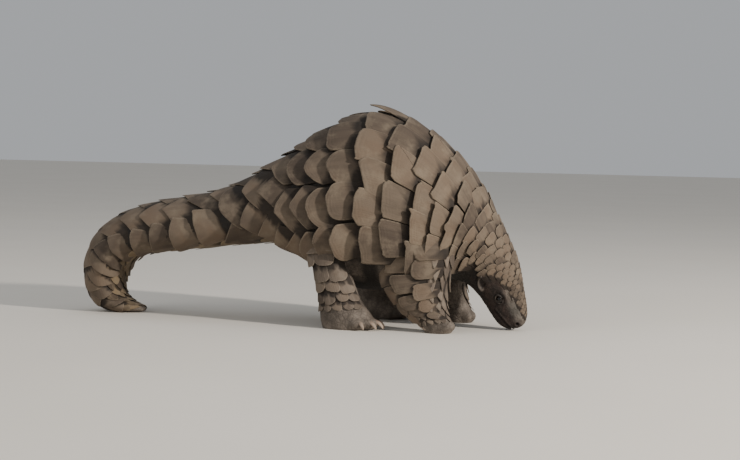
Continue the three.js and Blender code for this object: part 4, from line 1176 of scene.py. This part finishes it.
# Eyes and claws
def add_eyes():
    """Two eyes, each a ball with the swell of its cornea towards the side."""
    for name, side in SIDES.items():
        low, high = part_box(f"eye_{name}")
        middle = (np.array((low + high) / 2) - SHIFT) / MILLIMETRE
        points, faces = lump((0, 0, 0), (1, 1, 1), (40, 28))
        outwards = points @ (np.array(EYE_AIM) * np.array([1, side, 1]))
        off_axis = np.sqrt(np.maximum(1 - outwards**2, 0))
        ring = np.where(outwards > 0, off_axis, 1)
        swollen = points * (EYE["radius"] + EYE["cornea"] * swell(ring, 0, 0.5))[:, None]
        piece = make_piece(f"eye_ball_{name}", swollen + middle, faces, "eye", [f"eye_{name}"])
        mark_points(piece.data, "iris", ring[:, None])


def claw_tube(points, radius, along=22, around=18):
    """A curved claw, arched above and flatter below, tapering to its tip."""
    shares = np.linspace(0, 1, along)
    line = smooth_line(points, shares)
    tangents = np.gradient(line, axis=0)
    tangents /= length_of(tangents)
    beside = np.cross([0, 0, 1.0], tangents)
    beside /= length_of(beside)
    above = np.cross(tangents, beside)
    turn = np.linspace(0, 2 * math.pi, around, endpoint=False)
    thick = radius * np.sqrt(1 - shares * 0.96)[:, None, None]
    height = np.sin(turn)[None, :, None]
    rings = line[:, None] + beside[:, None] * np.cos(turn)[None, :, None] * thick
    rings = rings + above[:, None] * np.where(height > 0, height, height * 0.55) * thick * 0.85
    here = np.arange(around)
    faces = band_faces(along, around)
    faces += [list(here[::-1]), list((along - 1) * around + here)]
    marks = np.stack(np.broadcast_arrays(shares[:, None], turn[None, :] / TURN, 0), -1)
    return rings.reshape(-1, 3), faces, marks.reshape(-1, 3)


def claws_of(side_name, side):
    """The claws folded under the hand and the nails of the foot, on one side."""
    fore, hind = STRIDES["fore"][side_name], STRIDES["hind"][side_name]
    hand, foot = [], []
    for claw in HAND_CLAWS:
        y = side * (HAND_MIDDLE + claw["y"])
        low = claw["radius"] * CLAW_BASE
        line = [(mix(claw["root"], claw["tip"], share) + fore, y, low + high) for share, high in CLAW_LINE]
        hand.append(claw_tube(line, claw["radius"]))
    for nail in FOOT_NAILS:
        cos, sin = math.cos(nail["turn"]), math.sin(nail["turn"])
        line = [
            (nail["x"] + hind + far * cos, side * (FOOT_MIDDLE + nail["y"] + far * sin), z)
            for far, z in NAIL_LINE
        ]
        foot.append(claw_tube(line, nail["radius"]))
    return {"forefoot": hand, "hindfoot": foot}


def add_claws():
    for side_name, side in SIDES.items():
        for foot, claws in claws_of(side_name, side).items():
            points, faces = joined([claw[:2] for claw in claws])
            node = f"{foot}_{side_name}"
            piece = make_piece(f"claws_{node}", points, faces, "claw", [node])
            mark_points(piece.data, "claw", np.vstack([marks for _, _, marks in claws]))


# Stage
def add_floor():
    mesh = bpy.data.meshes.new("floor")
    corners = [(-1, -1), (1, -1), (1, 1), (-1, 1)]
    mesh.from_pydata([(x * FLOOR_REACH, y * FLOOR_REACH, 0) for x, y in corners], [], [(0, 1, 2, 3)])
    finish = Finish("floor", Roughness=0.9)
    speck = finish.noise(finish.place(), 3.0, 2.0)
    finish.feed("Base Color", finish.blend(*FLOOR_TONES, speck))
    mesh.materials.append(finish.material)
    floor = bpy.data.objects.new("floor", mesh)
    bpy.context.scene.collection.objects.link(floor)


def add_camera():
    """The camera at the photograph's angle: before the animal's right side, low over the floor."""
    turn, tilt, roll = (math.radians(CAMERA[key]) for key in ("turn", "tilt", "roll"))
    away = Vector((math.sin(turn), -math.cos(turn), 0))
    right = Vector((math.cos(turn), math.sin(turn), 0))
    forward = -away * math.cos(tilt) - Vector((0, 0, math.sin(tilt)))
    up = right.cross(forward)
    rolled_right = right * math.cos(roll) + up * math.sin(roll)
    rolled_up = up * math.cos(roll) - right * math.sin(roll)
    place = away * CAMERA["distance"] + Vector((0, 0, CAMERA["height"])) + Vector(SHIFT)
    data = bpy.data.cameras.new("camera")
    data.lens = CAMERA["lens"]
    data.sensor_width = 36
    camera = bpy.data.objects.new("camera", data)
    axes = Matrix((rolled_right, rolled_up, -forward)).transposed()
    camera.matrix_world = Matrix.Translation(place) @ axes.to_4x4()
    bpy.context.scene.collection.objects.link(camera)
    bpy.context.scene.camera = camera


def add_light(name, place, size, power, colour):
    """A soft square light that looks at the middle of the animal."""
    data = bpy.data.lights.new(name, "AREA")
    data.shape = "SQUARE"
    data.size = size
    data.energy = power
    data.color = colour
    light = bpy.data.objects.new(name, data)
    light.location = place
    light.rotation_euler = (Vector(LIT_POINT) - Vector(place)).to_track_quat("-Z", "Y").to_euler()
    bpy.context.scene.collection.objects.link(light)


def add_lights():
    for name, light in LIGHTS.items():
        add_light(name, **light)
    world = bpy.data.worlds.new("studio")
    world.use_nodes = True
    sky = world.node_tree.nodes["Background"]
    sky.inputs["Color"].default_value = paint(SKY_TONE)
    sky.inputs["Strength"].default_value = SKY_STRENGTH
    bpy.context.scene.world = world


add_camera()
add_lights()
add_floor()
add_skin()
add_scutes()
add_eyes()
add_claws()
